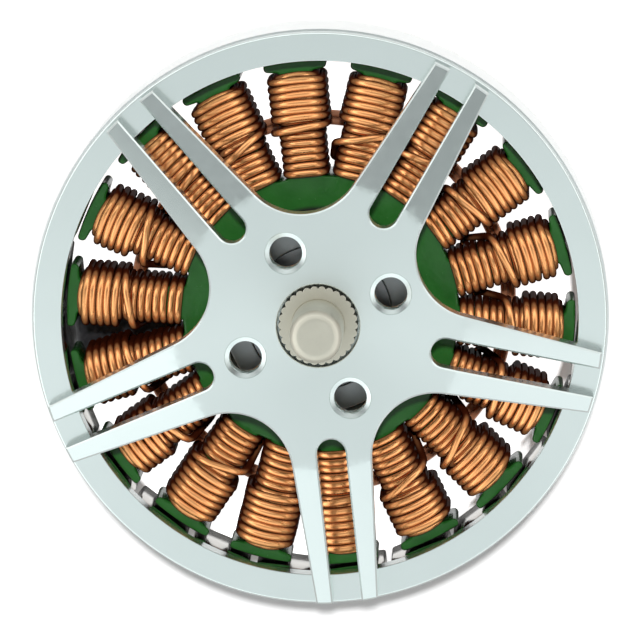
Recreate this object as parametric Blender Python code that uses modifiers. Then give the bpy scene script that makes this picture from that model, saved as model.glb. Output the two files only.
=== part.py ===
"""Outrunner brushless motor with a split-spoke bell, eighteen wound teeth and two ball bearings.

The motor stands on the foot of its base, bell up. +Z is the shaft's axis and z = 0 is the foot's
face. The stack is worked out from the foot upwards: seat, laminations, windings, bell ring,
spokes, hub and shaft end. Radii are worked out from the flux ring inwards: magnets, air gap,
stator teeth and coils.
"""
import math

import bmesh
import bpy

MM = 0.001

# Rotor shell: the steel flux ring and the magnets bonded inside it
ROTOR_RADIUS = 22.0 * MM
FLUX_WALL = 0.85 * MM
FLUX_SKIRT = 0.4 * MM  # how far the flux ring reaches below the laminations
FLUX_CHAMFER = 0.25 * MM
MAGNET_COUNT = 24
MAGNET_THICKNESS = 1.3 * MM
MAGNET_SPACING = 0.5 * MM  # between neighbours, at their inner faces
MAGNET_SETBACK = 0.3 * MM  # from the flux ring's lower rim
GLUE_GAP = 0.05 * MM
AIR_GAP = 0.25 * MM

# Bell: rim ring, split spokes and hub, milled from one piece
RIM_STEP = 0.15 * MM  # how far the rim lies inside the flux ring's surface
RIM_THICKNESS = 1.4 * MM
RIM_CHAMFER = 0.25 * MM
SPIGOT_HEIGHT = 0.7 * MM
SPOKE_PAIRS = 5
SPOKE_PHASE = math.radians(131.8)  # direction of the first pair's slot
SPOKE_THICKNESS = 2.4 * MM
SPOKE_ROOT = 0.1 * MM  # how deep a spoke runs into the rim
SPOKE_END_SETBACK = 0.3 * MM
SPOKE_WIDTH_HUB = 1.9 * MM
SPOKE_WIDTH_RIM = 1.35 * MM
SLOT_WIDTH = 2.2 * MM
SLOT_START = 8.7 * MM
WINDOW_START = 8.5 * MM
HUB_FOLD = 11.0 * MM  # the flat hub ends here and the spokes start to fall away
SPOKE_FALL = 1.9 * MM
WINDING_CLEARANCE = 0.45 * MM  # from the windings up to the bell's spigot
HUB_BOSS_RADIUS = 4.4 * MM
HUB_BOSS_LENGTH = 3.05 * MM
NOSE_LENGTH = 0.3 * MM  # the part of the boss that bears on the inner race alone
NOSE_WALL = 0.6 * MM

# Screw holes for the propeller adapter
PROP_HOLES = 4
PROP_CIRCLE = 6.0 * MM
PROP_HOLE_RADIUS = 1.2 * MM
PROP_SINK_RADIUS = 1.6 * MM
PROP_HOLE_PHASE = math.radians(24.0)

# Shaft with its knurled collar
SHAFT_RADIUS = 2.0 * MM
SHAFT_STUB = 7.4 * MM  # above the hub's face
SHAFT_CHAMFER = 0.5 * MM
SHAFT_TAIL = 0.25 * MM  # below the retaining clip
TAIL_CHAMFER = 0.1 * MM
COLLAR_RADIUS = 3.0 * MM
COLLAR_HEIGHT = 2.2 * MM
KNURL_TEETH = 30
KNURL_DEPTH = 0.14 * MM
FIT = 0.03 * MM  # radial gap of pieces that are pressed or slid together

# Ball bearings
BEARING_RADIUS = 5.5 * MM
BEARING_WIDTH = 4.0 * MM
BALL_COUNT = 7
BALL_RADIUS = 1.0 * MM
BALL_GAP = 0.08 * MM
GROOVE_DEPTH = 0.32 * MM
GROOVE_FLAT = 0.5 * MM
GROOVE_WIDTH = 1.6 * MM
SHIELD_THICKNESS = 0.25 * MM
SHIELD_GAP = 0.3 * MM
CAGE_WIDTH = 0.8 * MM
CAGE_THICKNESS = 0.5 * MM

# Retaining clip and shim under the rear bearing
SHIM_THICKNESS = 0.25 * MM
SHIM_RADIUS = 2.8 * MM
CLIP_THICKNESS = 0.45 * MM
CLIP_RADIUS = 3.2 * MM
CLIP_GROOVE = 0.3 * MM
CLIP_OPENING = math.radians(70.0)
STACK_GAP = 0.02 * MM  # axial gap between stacked faces

# Stator base
FOOT_RADIUS = 10.2 * MM
FOOT_THICKNESS = 3.0 * MM
FOOT_CHAMFER = 0.35 * MM
SEAT_HEIGHT = 5.4 * MM  # from the foot's face to the laminations
SEAT_RADIUS = 9.6 * MM
SEAT_CHAMFER = 0.45 * MM
TUBE_RADIUS = 7.3 * MM
FOOT_HOLES = 4
FOOT_CIRCLE = 8.0 * MM
FOOT_HOLE_RADIUS = 1.25 * MM
FOOT_HOLE_DEPTH = 4.0 * MM
REAR_RECESS = 1.3 * MM  # from the foot's face up to the rear bearing
BEARING_LEDGE = 1.6 * MM  # how far the tube's bore steps in between the bearings

# Laminated core with its epoxy coat
TOOTH_COUNT = 18
TOOTH_PHASE = math.radians(16.0)
STACK_HEIGHT = 6.0 * MM
YOKE_WALL = 2.85 * MM
TOOTH_WIDTH = 2.4 * MM
TIP_EDGE = 0.6 * MM
TIP_ROOT = 0.9 * MM
SLOT_OPENING = 1.9 * MM

# Coils
COIL_TURNS = 14
WIRE = 0.56 * MM
SECOND_LAYER = 0.5 * MM  # how far the upper turns stand over the lower ones
TURN_GROOVE = 0.17 * MM
COIL_GAP = 0.05 * MM
COIL_CORNER = 0.5  # cut off a coil's corners, as a share of its thickness

# Connecting wires behind the coils, bundled two above one
JUMPER_RADIUS = 0.28 * MM
JUMPER_CIRCLE = 14.35 * MM
JUMPER_GAP = 0.06 * MM  # from the coils, and between the wires
JUMPER_OPENING = math.radians(26.0)

# Sleeve over the winding ends
SLEEVE_ANGLE = math.radians(186.0)
SLEEVE_WIDTH = 6.0 * MM
SLEEVE_THICKNESS = 1.9 * MM
SLEEVE_SETBACK = 1.1 * MM  # from the foot's rim
SLEEVE_CHAMFER = 0.65 * MM

# Facets round a full turn
RIM_FACETS = 48
BORE_FACETS = 28
RACE_FACETS = 18
DRILL_FACETS = 12
JUMPER_FACETS = 18

# Steps along a single arc
WINDOW_STEPS = 10
SLOT_STEPS = 6
CLIP_STEPS = 12
TOOTH_TIP_STEPS = 3

CUTTER_REACH = 1.3  # how far cutters run past what they cut, as a share of its size

# The stack, from the foot upwards
STACK_BOTTOM = SEAT_HEIGHT
STACK_TOP = STACK_BOTTOM + STACK_HEIGHT
WINDING_TOP = STACK_TOP + COIL_GAP + WIRE + SECOND_LAYER
WINDING_BOTTOM = STACK_BOTTOM - COIL_GAP - WIRE - SECOND_LAYER
SPIGOT_BOTTOM = WINDING_TOP + WINDING_CLEARANCE
JOINT_HEIGHT = SPIGOT_BOTTOM + SPIGOT_HEIGHT
RIM_FACE = JOINT_HEIGHT + RIM_THICKNESS
SPOKE_END_TOP = RIM_FACE + SPOKE_THICKNESS - SPOKE_ROOT
HUB_TOP = SPOKE_END_TOP + SPOKE_FALL
HUB_UNDERSIDE = HUB_TOP - SPOKE_THICKNESS
NOSE_BOTTOM = HUB_UNDERSIDE - HUB_BOSS_LENGTH
FRONT_BEARING = NOSE_BOTTOM - STACK_GAP - BEARING_WIDTH / 2
TUBE_TOP = NOSE_BOTTOM + STACK_GAP
REAR_BEARING = REAR_RECESS + BEARING_WIDTH / 2
SHIM_TOP = REAR_RECESS - STACK_GAP
SHIM_BOTTOM = SHIM_TOP - SHIM_THICKNESS
CLIP_TOP = SHIM_BOTTOM - STACK_GAP
CLIP_BOTTOM = CLIP_TOP - CLIP_THICKNESS
SHAFT_BOTTOM = CLIP_BOTTOM - SHAFT_TAIL
SHAFT_TOP = HUB_TOP + SHAFT_STUB

# Radii, from the flux ring inwards
FLUX_BORE = ROTOR_RADIUS - FLUX_WALL
RIM_RADIUS = ROTOR_RADIUS - RIM_STEP
SPOKE_END = RIM_RADIUS - SPOKE_END_SETBACK
FLUX_BOTTOM = STACK_BOTTOM - FLUX_SKIRT


def magnet_face_radius():
    """Distance of the flat magnets' inner faces, with their back corners glued in the flux ring.

    With inner face distance f, width 2*f*k - s and thickness t, the back corner lies on the
    circle R: (f + t)^2 + (f*k - s/2)^2 = R^2, which is a quadratic in f.
    """
    corner = FLUX_BORE - GLUE_GAP
    k = math.tan(math.pi / MAGNET_COUNT)
    a = 1 + k * k
    b = 2 * MAGNET_THICKNESS - k * MAGNET_SPACING
    c = MAGNET_THICKNESS ** 2 + MAGNET_SPACING ** 2 / 4 - corner ** 2
    return (-b + math.sqrt(b * b - 4 * a * c)) / (2 * a)


MAGNET_FACE = magnet_face_radius()
MAGNET_WIDTH = 2 * MAGNET_FACE * math.tan(math.pi / MAGNET_COUNT) - MAGNET_SPACING
STATOR_RADIUS = MAGNET_FACE - AIR_GAP
CORE_BORE = TUBE_RADIUS + FIT
YOKE_RADIUS = CORE_BORE + YOKE_WALL
TOOTH_HALF_PITCH = math.pi / TOOTH_COUNT
BALL_CIRCLE = (SHAFT_RADIUS + BEARING_RADIUS) / 2


def reach_between_teeth(half_width):
    """Radius at which a coil of this half width just clears the next tooth's coil."""
    return (half_width + COIL_GAP) / math.tan(TOOTH_HALF_PITCH)


COIL_HALF_WIDTH = TOOTH_WIDTH / 2 + COIL_GAP + WIRE
COIL_START = max(YOKE_RADIUS + COIL_GAP, reach_between_teeth(COIL_HALF_WIDTH))
COIL_END = STATOR_RADIUS - TIP_ROOT - COIL_GAP
COIL_PITCH = (COIL_END - COIL_START) / COIL_TURNS
COIL_MIDDLE = max((COIL_START + COIL_END) / 2, reach_between_teeth(COIL_HALF_WIDTH + SECOND_LAYER))


def clear_scene():
    for item in list(bpy.data.objects):
        bpy.data.objects.remove(item, do_unlink=True)


def new_collection(name):
    collection = bpy.data.collections.new(name)
    bpy.context.scene.collection.children.link(collection)
    return collection


def make_material(name, colour, roughness, metallic):
    material = bpy.data.materials.new(name)
    material.use_nodes = True
    shader = material.node_tree.nodes["Principled BSDF"]
    shader.inputs["Base Color"].default_value = (*colour, 1.0)
    shader.inputs["Roughness"].default_value = roughness
    shader.inputs["Metallic"].default_value = metallic
    material.diffuse_color = (*colour, 1.0)
    return material


clear_scene()
MOTOR = new_collection("brushless_motor")
CUTTERS = new_collection("cutters")

ALUMINIUM = make_material("turned aluminium", (0.80, 0.83, 0.83), 0.28, 1.0)
PLATED_STEEL = make_material("plated flux ring", (0.78, 0.80, 0.79), 0.35, 1.0)
NICKEL = make_material("nickel plated magnet", (0.62, 0.60, 0.56), 0.18, 1.0)
SHAFT_STEEL = make_material("ground steel", (0.63, 0.60, 0.55), 0.22, 1.0)
BEARING_STEEL = make_material("bearing steel", (0.42, 0.42, 0.43), 0.25, 1.0)
CAGE_STEEL = make_material("cage steel", (0.50, 0.47, 0.42), 0.40, 1.0)
SPRING_STEEL = make_material("blackened spring steel", (0.10, 0.10, 0.11), 0.40, 1.0)
EPOXY = make_material("green epoxy coat", (0.03, 0.17, 0.06), 0.40, 0.0)
COPPER = make_material("enamelled copper wire", (0.72, 0.30, 0.12), 0.28, 1.0)
SLEEVING = make_material("black sleeving", (0.02, 0.02, 0.022), 0.55, 0.0)


def add_piece(name, mesh, material, parent, angle=0.0):
    """Place a mesh as a named piece of the motor, turned about the shaft's axis."""
    piece = bpy.data.objects.new(name, mesh)
    if not mesh.materials:
        mesh.materials.append(material)
    MOTOR.objects.link(piece)
    piece.rotation_euler.z = angle
    piece.parent = parent
    return piece


def add_cutter(name, mesh, angle=0.0):
    cutter = bpy.data.objects.new(name, mesh)
    CUTTERS.objects.link(cutter)
    cutter.rotation_euler.z = angle
    cutter.display_type = 'WIRE'
    cutter.hide_render = True
    return cutter


def add_empty(name, height=0.0):
    """A frame on the shaft's axis, which carries the pieces that move together."""
    empty = bpy.data.objects.new(name, None)
    empty.location.z = height
    empty.empty_display_size = 5 * MM
    MOTOR.objects.link(empty)
    return empty


def profile_mesh(name, points):
    """An outline of (radius, height) points, listed down the outer side first.

    It is closed into a loop, unless it starts and ends on the axis.
    """
    mesh = bpy.data.meshes.new(name)
    edges = [(i, i + 1) for i in range(len(points) - 1)]
    if points[0][0] > 0:
        edges.append((len(points) - 1, 0))
    mesh.from_pydata([(radius, 0.0, height) for radius, height in points], edges, [])
    return mesh


def spin(item, facets):
    """Turn an object's profile about the Z axis."""
    screw = item.modifiers.new("turn", 'SCREW')
    screw.axis = 'Z'
    screw.angle = math.tau
    screw.steps = facets
    screw.render_steps = facets
    screw.use_smooth_shade = False
    screw.use_merge_vertices = True
    screw.merge_threshold = 0.001 * MM
    return item


def cut(item, cutter):
    modifier = item.modifiers.new("cut " + cutter.name, 'BOOLEAN')
    modifier.operation = 'DIFFERENCE'
    modifier.object = cutter


def join(item, other):
    modifier = item.modifiers.new("join " + other.name, 'BOOLEAN')
    modifier.operation = 'UNION'
    modifier.object = other


def curve_to_mesh(curve, name):
    """The closed mesh of a curve with its caps welded."""
    holder = bpy.data.objects.new(name, curve)
    CUTTERS.objects.link(holder)
    graph = bpy.context.evaluated_depsgraph_get()
    graph.update()
    mesh = bpy.data.meshes.new_from_object(holder.evaluated_get(graph))
    bpy.data.objects.remove(holder, do_unlink=True)
    bpy.data.curves.remove(curve)
    shape = bmesh.new()
    shape.from_mesh(mesh)
    bmesh.ops.remove_doubles(shape, verts=shape.verts, dist=0.001 * MM)
    shape.to_mesh(mesh)
    shape.free()
    mesh.name = name
    return mesh


def plate_mesh(name, outlines, bottom, top):
    """A flat plate between two heights, from closed outlines in the plane: the first is the
    edge and any others are its holes."""
    curve = bpy.data.curves.new(name, 'CURVE')
    curve.dimensions = '2D'
    curve.fill_mode = 'BOTH'
    curve.extrude = (top - bottom) / 2
    for outline in outlines:
        spline = curve.splines.new('POLY')
        spline.points.add(len(outline) - 1)
        for point, (x, y) in zip(spline.points, outline):
            point.co = (x, y, 0.0, 1.0)
        spline.use_cyclic_u = True
    mesh = curve_to_mesh(curve, name)
    for vertex in mesh.vertices:
        vertex.co.z += (top + bottom) / 2
    return mesh


def polar(radius, angle):
    return radius * math.cos(angle), radius * math.sin(angle)


def arc(centre, radius, start, end, steps):
    """Points from start to end along an arc, both ends included."""
    x, y = centre
    angles = [start + (end - start) * i / steps for i in range(steps + 1)]
    return [(x + radius * math.cos(a), y + radius * math.sin(a)) for a in angles]


def circle(radius, facets):
    return [polar(radius, math.tau * i / facets) for i in range(facets)]


STATOR = add_empty("stator")
ROTOR = add_empty("rotor")
FRONT_CAGE = add_empty("front_cage_axis", FRONT_BEARING)
REAR_CAGE = add_empty("rear_cage_axis", REAR_BEARING)


def rim_mesh():
    """Rim ring with a chamfered outer edge and the spigot that enters the flux ring."""
    spigot = FLUX_BORE - GLUE_GAP
    return profile_mesh("bell rim", [
        (RIM_RADIUS - RIM_CHAMFER, RIM_FACE),
        (RIM_RADIUS, RIM_FACE - RIM_CHAMFER),
        (RIM_RADIUS, JOINT_HEIGHT),
        (spigot, JOINT_HEIGHT),
        (spigot, SPIGOT_BOTTOM),
        (MAGNET_FACE, SPIGOT_BOTTOM),
        (MAGNET_FACE, RIM_FACE),
    ])


def spider_mesh():
    """Flat hub that falls away as a cone beyond the fold, with the boss on its underside."""
    slope = SPOKE_FALL / (SPOKE_END - HUB_FOLD)
    nose_radius = SHAFT_RADIUS + NOSE_WALL
    end_bottom = SPOKE_END_TOP - SPOKE_THICKNESS
    bore = SHAFT_RADIUS + FIT
    socket = COLLAR_RADIUS + FIT
    return profile_mesh("bell spider", [
        (socket, HUB_TOP),
        (HUB_FOLD, HUB_TOP),
        (SPOKE_END - RIM_CHAMFER, SPOKE_END_TOP + slope * RIM_CHAMFER),
        (SPOKE_END, SPOKE_END_TOP - RIM_CHAMFER),
        (SPOKE_END, end_bottom),
        (MAGNET_FACE, end_bottom),
        (HUB_FOLD, HUB_UNDERSIDE),
        (HUB_BOSS_RADIUS, HUB_UNDERSIDE),
        (HUB_BOSS_RADIUS, NOSE_BOTTOM + NOSE_LENGTH),
        (nose_radius, NOSE_BOTTOM + NOSE_LENGTH),
        (nose_radius, NOSE_BOTTOM),
        (bore, NOSE_BOTTOM),
        (bore, HUB_TOP - COLLAR_HEIGHT - STACK_GAP),
        (socket, HUB_TOP - COLLAR_HEIGHT - STACK_GAP),
    ])


def spoke_edge(distance):
    """Half width of a spoke pair at a distance along its slot."""
    hub_half = SLOT_WIDTH / 2 + SPOKE_WIDTH_HUB
    rim_half = SLOT_WIDTH / 2 + SPOKE_WIDTH_RIM
    return hub_half + (rim_half - hub_half) * (distance - HUB_FOLD) / (MAGNET_FACE - HUB_FOLD)


def window_outline():
    """Opening between two spoke pairs, along +X: a round hub end tangent to both straight sides."""
    half_pitch = math.pi / SPOKE_PAIRS
    taper = spoke_edge(0.0) - spoke_edge(1.0)
    lean = math.hypot(1.0, taper)
    # The round end's centre c and radius c - WINDOW_START both follow from touching the sides
    reach = math.sin(half_pitch) + taper * math.cos(half_pitch)
    centre = (lean * WINDOW_START - spoke_edge(0.0)) / (lean - reach)
    radius = centre - WINDOW_START
    side = half_pitch + math.atan(taper)
    far = CUTTER_REACH * ROTOR_RADIUS
    touch = math.pi / 2 + side
    points = arc((centre, 0.0), radius, touch, math.tau - touch, WINDOW_STEPS)
    run = far - radius
    x, y = points[0]
    corner = (x + run * math.cos(side), y + run * math.sin(side))
    return [corner] + points + [(corner[0], -corner[1])]


def slot_outline():
    """Slot that splits a spoke pair, along +X: parallel sides and a round hub end."""
    half = SLOT_WIDTH / 2
    far = CUTTER_REACH * ROTOR_RADIUS
    end = arc((SLOT_START + half, 0.0), half, math.pi / 2, 1.5 * math.pi, SLOT_STEPS)
    return [(far, half)] + end + [(far, -half)]


def build_bell():
    bell = spin(add_piece("bell", spider_mesh(), ALUMINIUM, ROTOR), RIM_FACETS)
    low = JOINT_HEIGHT
    high = HUB_TOP + SPOKE_THICKNESS
    window = plate_mesh("window cutter", [window_outline()], low, high)
    slot = plate_mesh("slot cutter", [slot_outline()], low, high)
    for pair in range(SPOKE_PAIRS):
        angle = SPOKE_PHASE + math.tau * pair / SPOKE_PAIRS
        cut(bell, add_cutter(f"slot_{pair + 1}", slot, angle))
        cut(bell, add_cutter(f"window_{pair + 1}", window, angle + math.pi / SPOKE_PAIRS))
    join(bell, spin(add_cutter("rim_ring", rim_mesh()), RIM_FACETS))
    drill = prop_drill_mesh()
    for hole in range(PROP_HOLES):
        angle = PROP_HOLE_PHASE + math.tau * hole / PROP_HOLES
        cutter = spin(add_cutter(f"prop_hole_{hole + 1}", drill), DRILL_FACETS)
        cutter.location = (*polar(PROP_CIRCLE, angle), HUB_TOP)
        cut(bell, cutter)


def prop_drill_mesh():
    """Drill with a countersink, whose mouth at the hub's face lies at the origin."""
    sink = PROP_SINK_RADIUS - PROP_HOLE_RADIUS
    depth = CUTTER_REACH * SPOKE_THICKNESS
    return profile_mesh("prop hole cutter", [
        (0.0, sink),
        (PROP_SINK_RADIUS + sink, sink),
        (PROP_HOLE_RADIUS, -sink),
        (PROP_HOLE_RADIUS, -depth),
        (0.0, -depth),
    ])


def build_flux_ring():
    profile = [
        (ROTOR_RADIUS, JOINT_HEIGHT - STACK_GAP),
        (ROTOR_RADIUS, FLUX_BOTTOM + FLUX_CHAMFER),
        (ROTOR_RADIUS - FLUX_CHAMFER, FLUX_BOTTOM),
        (FLUX_BORE, FLUX_BOTTOM),
        (FLUX_BORE, JOINT_HEIGHT - STACK_GAP),
    ]
    spin(add_piece("flux_ring", profile_mesh("flux ring", profile), PLATED_STEEL, ROTOR), RIM_FACETS)


def magnet_mesh():
    """Flat block magnet with its inner face square to +X."""
    bottom = FLUX_BOTTOM + MAGNET_SETBACK
    top = SPIGOT_BOTTOM - STACK_GAP
    shape = bmesh.new()
    bmesh.ops.create_cube(shape, size=1.0)
    for vertex in shape.verts:
        vertex.co.x = MAGNET_FACE + (vertex.co.x + 0.5) * MAGNET_THICKNESS
        vertex.co.y *= MAGNET_WIDTH
        vertex.co.z = (bottom + top) / 2 + vertex.co.z * (top - bottom)
    mesh = bpy.data.meshes.new("block magnet")
    shape.to_mesh(mesh)
    shape.free()
    return mesh


def build_magnets():
    block = magnet_mesh()
    for index in range(MAGNET_COUNT):
        angle = math.tau * (index + 0.5) / MAGNET_COUNT
        add_piece(f"magnet_{index + 1:02d}", block, NICKEL, ROTOR, angle)


def build_shaft():
    """Ground shaft with a groove for the clip, and the knurled collar that is pressed in the hub."""
    groove = SHAFT_RADIUS - CLIP_GROOVE
    profile = [
        (0.0, SHAFT_TOP),
        (SHAFT_RADIUS - SHAFT_CHAMFER, SHAFT_TOP),
        (SHAFT_RADIUS, SHAFT_TOP - SHAFT_CHAMFER),
        (SHAFT_RADIUS, CLIP_TOP + STACK_GAP),
        (groove, CLIP_TOP + STACK_GAP),
        (groove, CLIP_BOTTOM - STACK_GAP),
        (SHAFT_RADIUS, CLIP_BOTTOM - STACK_GAP),
        (SHAFT_RADIUS, SHAFT_BOTTOM + TAIL_CHAMFER),
        (SHAFT_RADIUS - TAIL_CHAMFER, SHAFT_BOTTOM),
        (0.0, SHAFT_BOTTOM),
    ]
    shaft = spin(add_piece("shaft", profile_mesh("shaft", profile), SHAFT_STEEL, ROTOR), RACE_FACETS)
    knurl = []
    for tooth in range(KNURL_TEETH):
        angle = math.tau * tooth / KNURL_TEETH
        knurl.append(polar(COLLAR_RADIUS, angle))
        knurl.append(polar(COLLAR_RADIUS - KNURL_DEPTH, angle + math.pi / KNURL_TEETH))
    collar = plate_mesh("knurled collar", [knurl], HUB_TOP - COLLAR_HEIGHT, HUB_TOP)
    join(shaft, add_cutter("knurled_collar", collar))


def inner_race_mesh():
    """Inner ring, centred on the origin, with the ball groove round its outside."""
    half = BEARING_WIDTH / 2
    groove = BALL_CIRCLE - BALL_RADIUS - BALL_GAP
    shoulder = groove + GROOVE_DEPTH
    bore = SHAFT_RADIUS + FIT
    return profile_mesh("inner race", [
        (shoulder, half),
        (shoulder, GROOVE_WIDTH / 2),
        (groove, GROOVE_FLAT / 2),
        (groove, -GROOVE_FLAT / 2),
        (shoulder, -GROOVE_WIDTH / 2),
        (shoulder, -half),
        (bore, -half),
        (bore, half),
    ])


def outer_race_mesh():
    """Outer ring, centred on the origin, with the ball groove and its two crimped shields."""
    half = BEARING_WIDTH / 2
    groove = BALL_CIRCLE + BALL_RADIUS + BALL_GAP
    shoulder = groove - GROOVE_DEPTH
    shield = BALL_CIRCLE - BALL_RADIUS - BALL_GAP + GROOVE_DEPTH + SHIELD_GAP
    inside = half - SHIELD_THICKNESS
    return profile_mesh("outer race", [
        (BEARING_RADIUS, half),
        (BEARING_RADIUS, -half),
        (shield, -half),
        (shield, -inside),
        (shoulder, -inside),
        (shoulder, -GROOVE_WIDTH / 2),
        (groove, -GROOVE_FLAT / 2),
        (groove, GROOVE_FLAT / 2),
        (shoulder, GROOVE_WIDTH / 2),
        (shoulder, inside),
        (shield, inside),
        (shield, half),
    ])


def ball_mesh():
    shape = bmesh.new()
    bmesh.ops.create_uvsphere(shape, u_segments=6, v_segments=4, radius=BALL_RADIUS)
    mesh = bpy.data.meshes.new("bearing ball")
    shape.to_mesh(mesh)
    shape.free()
    return mesh


def build_cage(name, parent):
    """Ribbon cage with the balls that it carries round."""
    half = CAGE_THICKNESS / 2
    inner = BALL_CIRCLE - CAGE_WIDTH / 2
    outer = BALL_CIRCLE + CAGE_WIDTH / 2
    ribbon = profile_mesh(name, [(outer, half), (outer, -half), (inner, -half), (inner, half)])
    cage = spin(add_piece(name, ribbon, CAGE_STEEL, parent), 2 * BALL_COUNT)
    ball = ball_mesh()
    for index in range(BALL_COUNT):
        cutter = add_cutter(f"{name}_ball_{index + 1}", ball)
        cutter.parent = parent
        cutter.location = (*polar(BALL_CIRCLE, math.tau * index / BALL_COUNT), 0.0)
        join(cage, cutter)


def build_bearings():
    inner = inner_race_mesh()
    outer = outer_race_mesh()
    places = (("front", FRONT_BEARING, FRONT_CAGE), ("rear", REAR_BEARING, REAR_CAGE))
    for side, height, cage in places:
        ring = spin(add_piece(f"{side}_bearing_outer", outer, BEARING_STEEL, STATOR), RACE_FACETS)
        ring.location.z = height
        ring = spin(add_piece(f"{side}_bearing_inner", inner, BEARING_STEEL, ROTOR), RACE_FACETS)
        ring.location.z = height
        build_cage(f"{side}_ball_cage", cage)


def build_shim_and_clip():
    bore = SHAFT_RADIUS + FIT
    shim = profile_mesh("shim", [
        (SHIM_RADIUS, SHIM_TOP),
        (SHIM_RADIUS, SHIM_BOTTOM),
        (bore, SHIM_BOTTOM),
        (bore, SHIM_TOP),
    ])
    spin(add_piece("shim_washer", shim, BEARING_STEEL, ROTOR), RACE_FACETS)
    start = CLIP_OPENING / 2
    end = math.tau - start
    outline = arc((0.0, 0.0), CLIP_RADIUS, start, end, CLIP_STEPS)
    outline += arc((0.0, 0.0), SHAFT_RADIUS - CLIP_GROOVE + FIT, end, start, CLIP_STEPS)
    clip = plate_mesh("retaining clip", [outline], CLIP_BOTTOM, CLIP_TOP)
    add_piece("retaining_clip", clip, SPRING_STEEL, ROTOR)


def build_base():
    """Foot, seat and bearing tube, turned from one piece, with blind screw holes in the foot."""
    seat = BEARING_RADIUS + FIT
    bore = seat - BEARING_LEDGE
    profile = [
        (TUBE_RADIUS, TUBE_TOP),
        (TUBE_RADIUS, STACK_BOTTOM - STACK_GAP),
        (SEAT_RADIUS - SEAT_CHAMFER, STACK_BOTTOM - STACK_GAP),
        (SEAT_RADIUS, STACK_BOTTOM - STACK_GAP - SEAT_CHAMFER),
        (SEAT_RADIUS, FOOT_THICKNESS),
        (FOOT_RADIUS - FOOT_CHAMFER, FOOT_THICKNESS),
        (FOOT_RADIUS, FOOT_THICKNESS - FOOT_CHAMFER),
        (FOOT_RADIUS, 0.0),
        (seat, 0.0),
        (seat, REAR_BEARING + BEARING_WIDTH / 2 + STACK_GAP),
        (bore, REAR_BEARING + BEARING_WIDTH / 2 + STACK_GAP),
        (bore, FRONT_BEARING - BEARING_WIDTH / 2 - STACK_GAP),
        (seat, FRONT_BEARING - BEARING_WIDTH / 2 - STACK_GAP),
        (seat, TUBE_TOP),
    ]
    base = spin(add_piece("base", profile_mesh("base", profile), ALUMINIUM, STATOR), BORE_FACETS)
    drill = profile_mesh("foot hole cutter", [
        (0.0, FOOT_HOLE_DEPTH),
        (FOOT_HOLE_RADIUS, FOOT_HOLE_DEPTH),
        (FOOT_HOLE_RADIUS, -FOOT_THICKNESS),
        (0.0, -FOOT_THICKNESS),
    ])
    for hole in range(FOOT_HOLES):
        cutter = spin(add_cutter(f"foot_hole_{hole + 1}", drill), DRILL_FACETS)
        cutter.location = (*polar(FOOT_CIRCLE, math.tau * (hole + 0.5) / FOOT_HOLES), 0.0)
        cut(base, cutter)


def core_outline():
    """Edge of the laminations: a yoke with one T-shaped tooth for each coil."""
    tip_half = TOOTH_HALF_PITCH - math.asin(SLOT_OPENING / 2 / STATOR_RADIUS)
    neck = TOOTH_WIDTH / 2
    root_angle = math.asin(neck / YOKE_RADIUS)
    root_x = YOKE_RADIUS * math.cos(root_angle)
    lip_x, lip_y = polar(STATOR_RADIUS - TIP_EDGE, tip_half)
    tooth = [(root_x, -neck), (STATOR_RADIUS - TIP_ROOT, -neck), (lip_x, -lip_y)]
    tooth += arc((0.0, 0.0), STATOR_RADIUS, -tip_half, tip_half, TOOTH_TIP_STEPS)
    tooth += [(lip_x, lip_y), (STATOR_RADIUS - TIP_ROOT, neck), (root_x, neck)]
    outline = []
    for index in range(TOOTH_COUNT):
        turn = TOOTH_PHASE + math.tau * index / TOOTH_COUNT
        for x, y in tooth:
            outline.append(polar(math.hypot(x, y), math.atan2(y, x) + turn))
    return outline


def build_core():
    bore = circle(CORE_BORE / math.cos(math.pi / BORE_FACETS), BORE_FACETS)
    core = plate_mesh("laminated core", [core_outline(), bore], STACK_BOTTOM, STACK_TOP)
    add_piece("stator_core", core, EPOXY, STATOR)


def coil_loop(shape, radius, thickness, corner=0.0):
    """Corners of a rectangle round the tooth, square to +X: two points where one is cut off."""
    side = TOOTH_WIDTH / 2 + COIL_GAP + thickness
    rise = STACK_HEIGHT / 2 + COIL_GAP + thickness
    middle = STACK_BOTTOM + STACK_HEIGHT / 2
    loop = []
    for y_sign, z_sign in ((1, 1), (-1, 1), (-1, -1), (1, -1)):
        upright = (y_sign * side, z_sign * (rise - corner))
        level = (y_sign * (side - corner), z_sign * rise)
        points = [upright, level] if y_sign == z_sign else [level, upright]
        if corner == 0:
            points = [upright]
        loop.append([shape.verts.new((radius, y, middle + z)) for y, z in points])
    return loop


def skin_between(shape, lower, upper):
    """Four sides between two loops, and a small face at each corner that one of them cuts off."""
    for i in range(4):
        j = (i + 1) % 4
        shape.faces.new((lower[i][-1], lower[j][0], upper[j][0], upper[i][-1]))
        corner = lower[i] + upper[i][::-1]
        if len(corner) > 2:
            shape.faces.new(corner)


def coil_mesh():
    """Wound coil as one solid round its tooth: each turn is a ridge of its skin."""
    shape = bmesh.new()
    loops = [coil_loop(shape, COIL_START, 0.0)]
    for turn in range(COIL_TURNS):
        start = COIL_START + turn * COIL_PITCH
        middle = start + COIL_PITCH / 2
        thickness = WIRE + SECOND_LAYER if middle > COIL_MIDDLE else WIRE
        loops.append(coil_loop(shape, start, thickness - TURN_GROOVE))
        loops.append(coil_loop(shape, middle, thickness, COIL_CORNER * thickness))
    loops.append(coil_loop(shape, COIL_END, thickness - TURN_GROOVE))
    loops.append(coil_loop(shape, COIL_END, 0.0))
    for lower, upper in zip(loops, loops[1:] + loops[:1]):
        skin_between(shape, lower, upper)
    mesh = bpy.data.meshes.new("wound coil")
    shape.to_mesh(mesh)
    shape.free()
    return mesh


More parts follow.
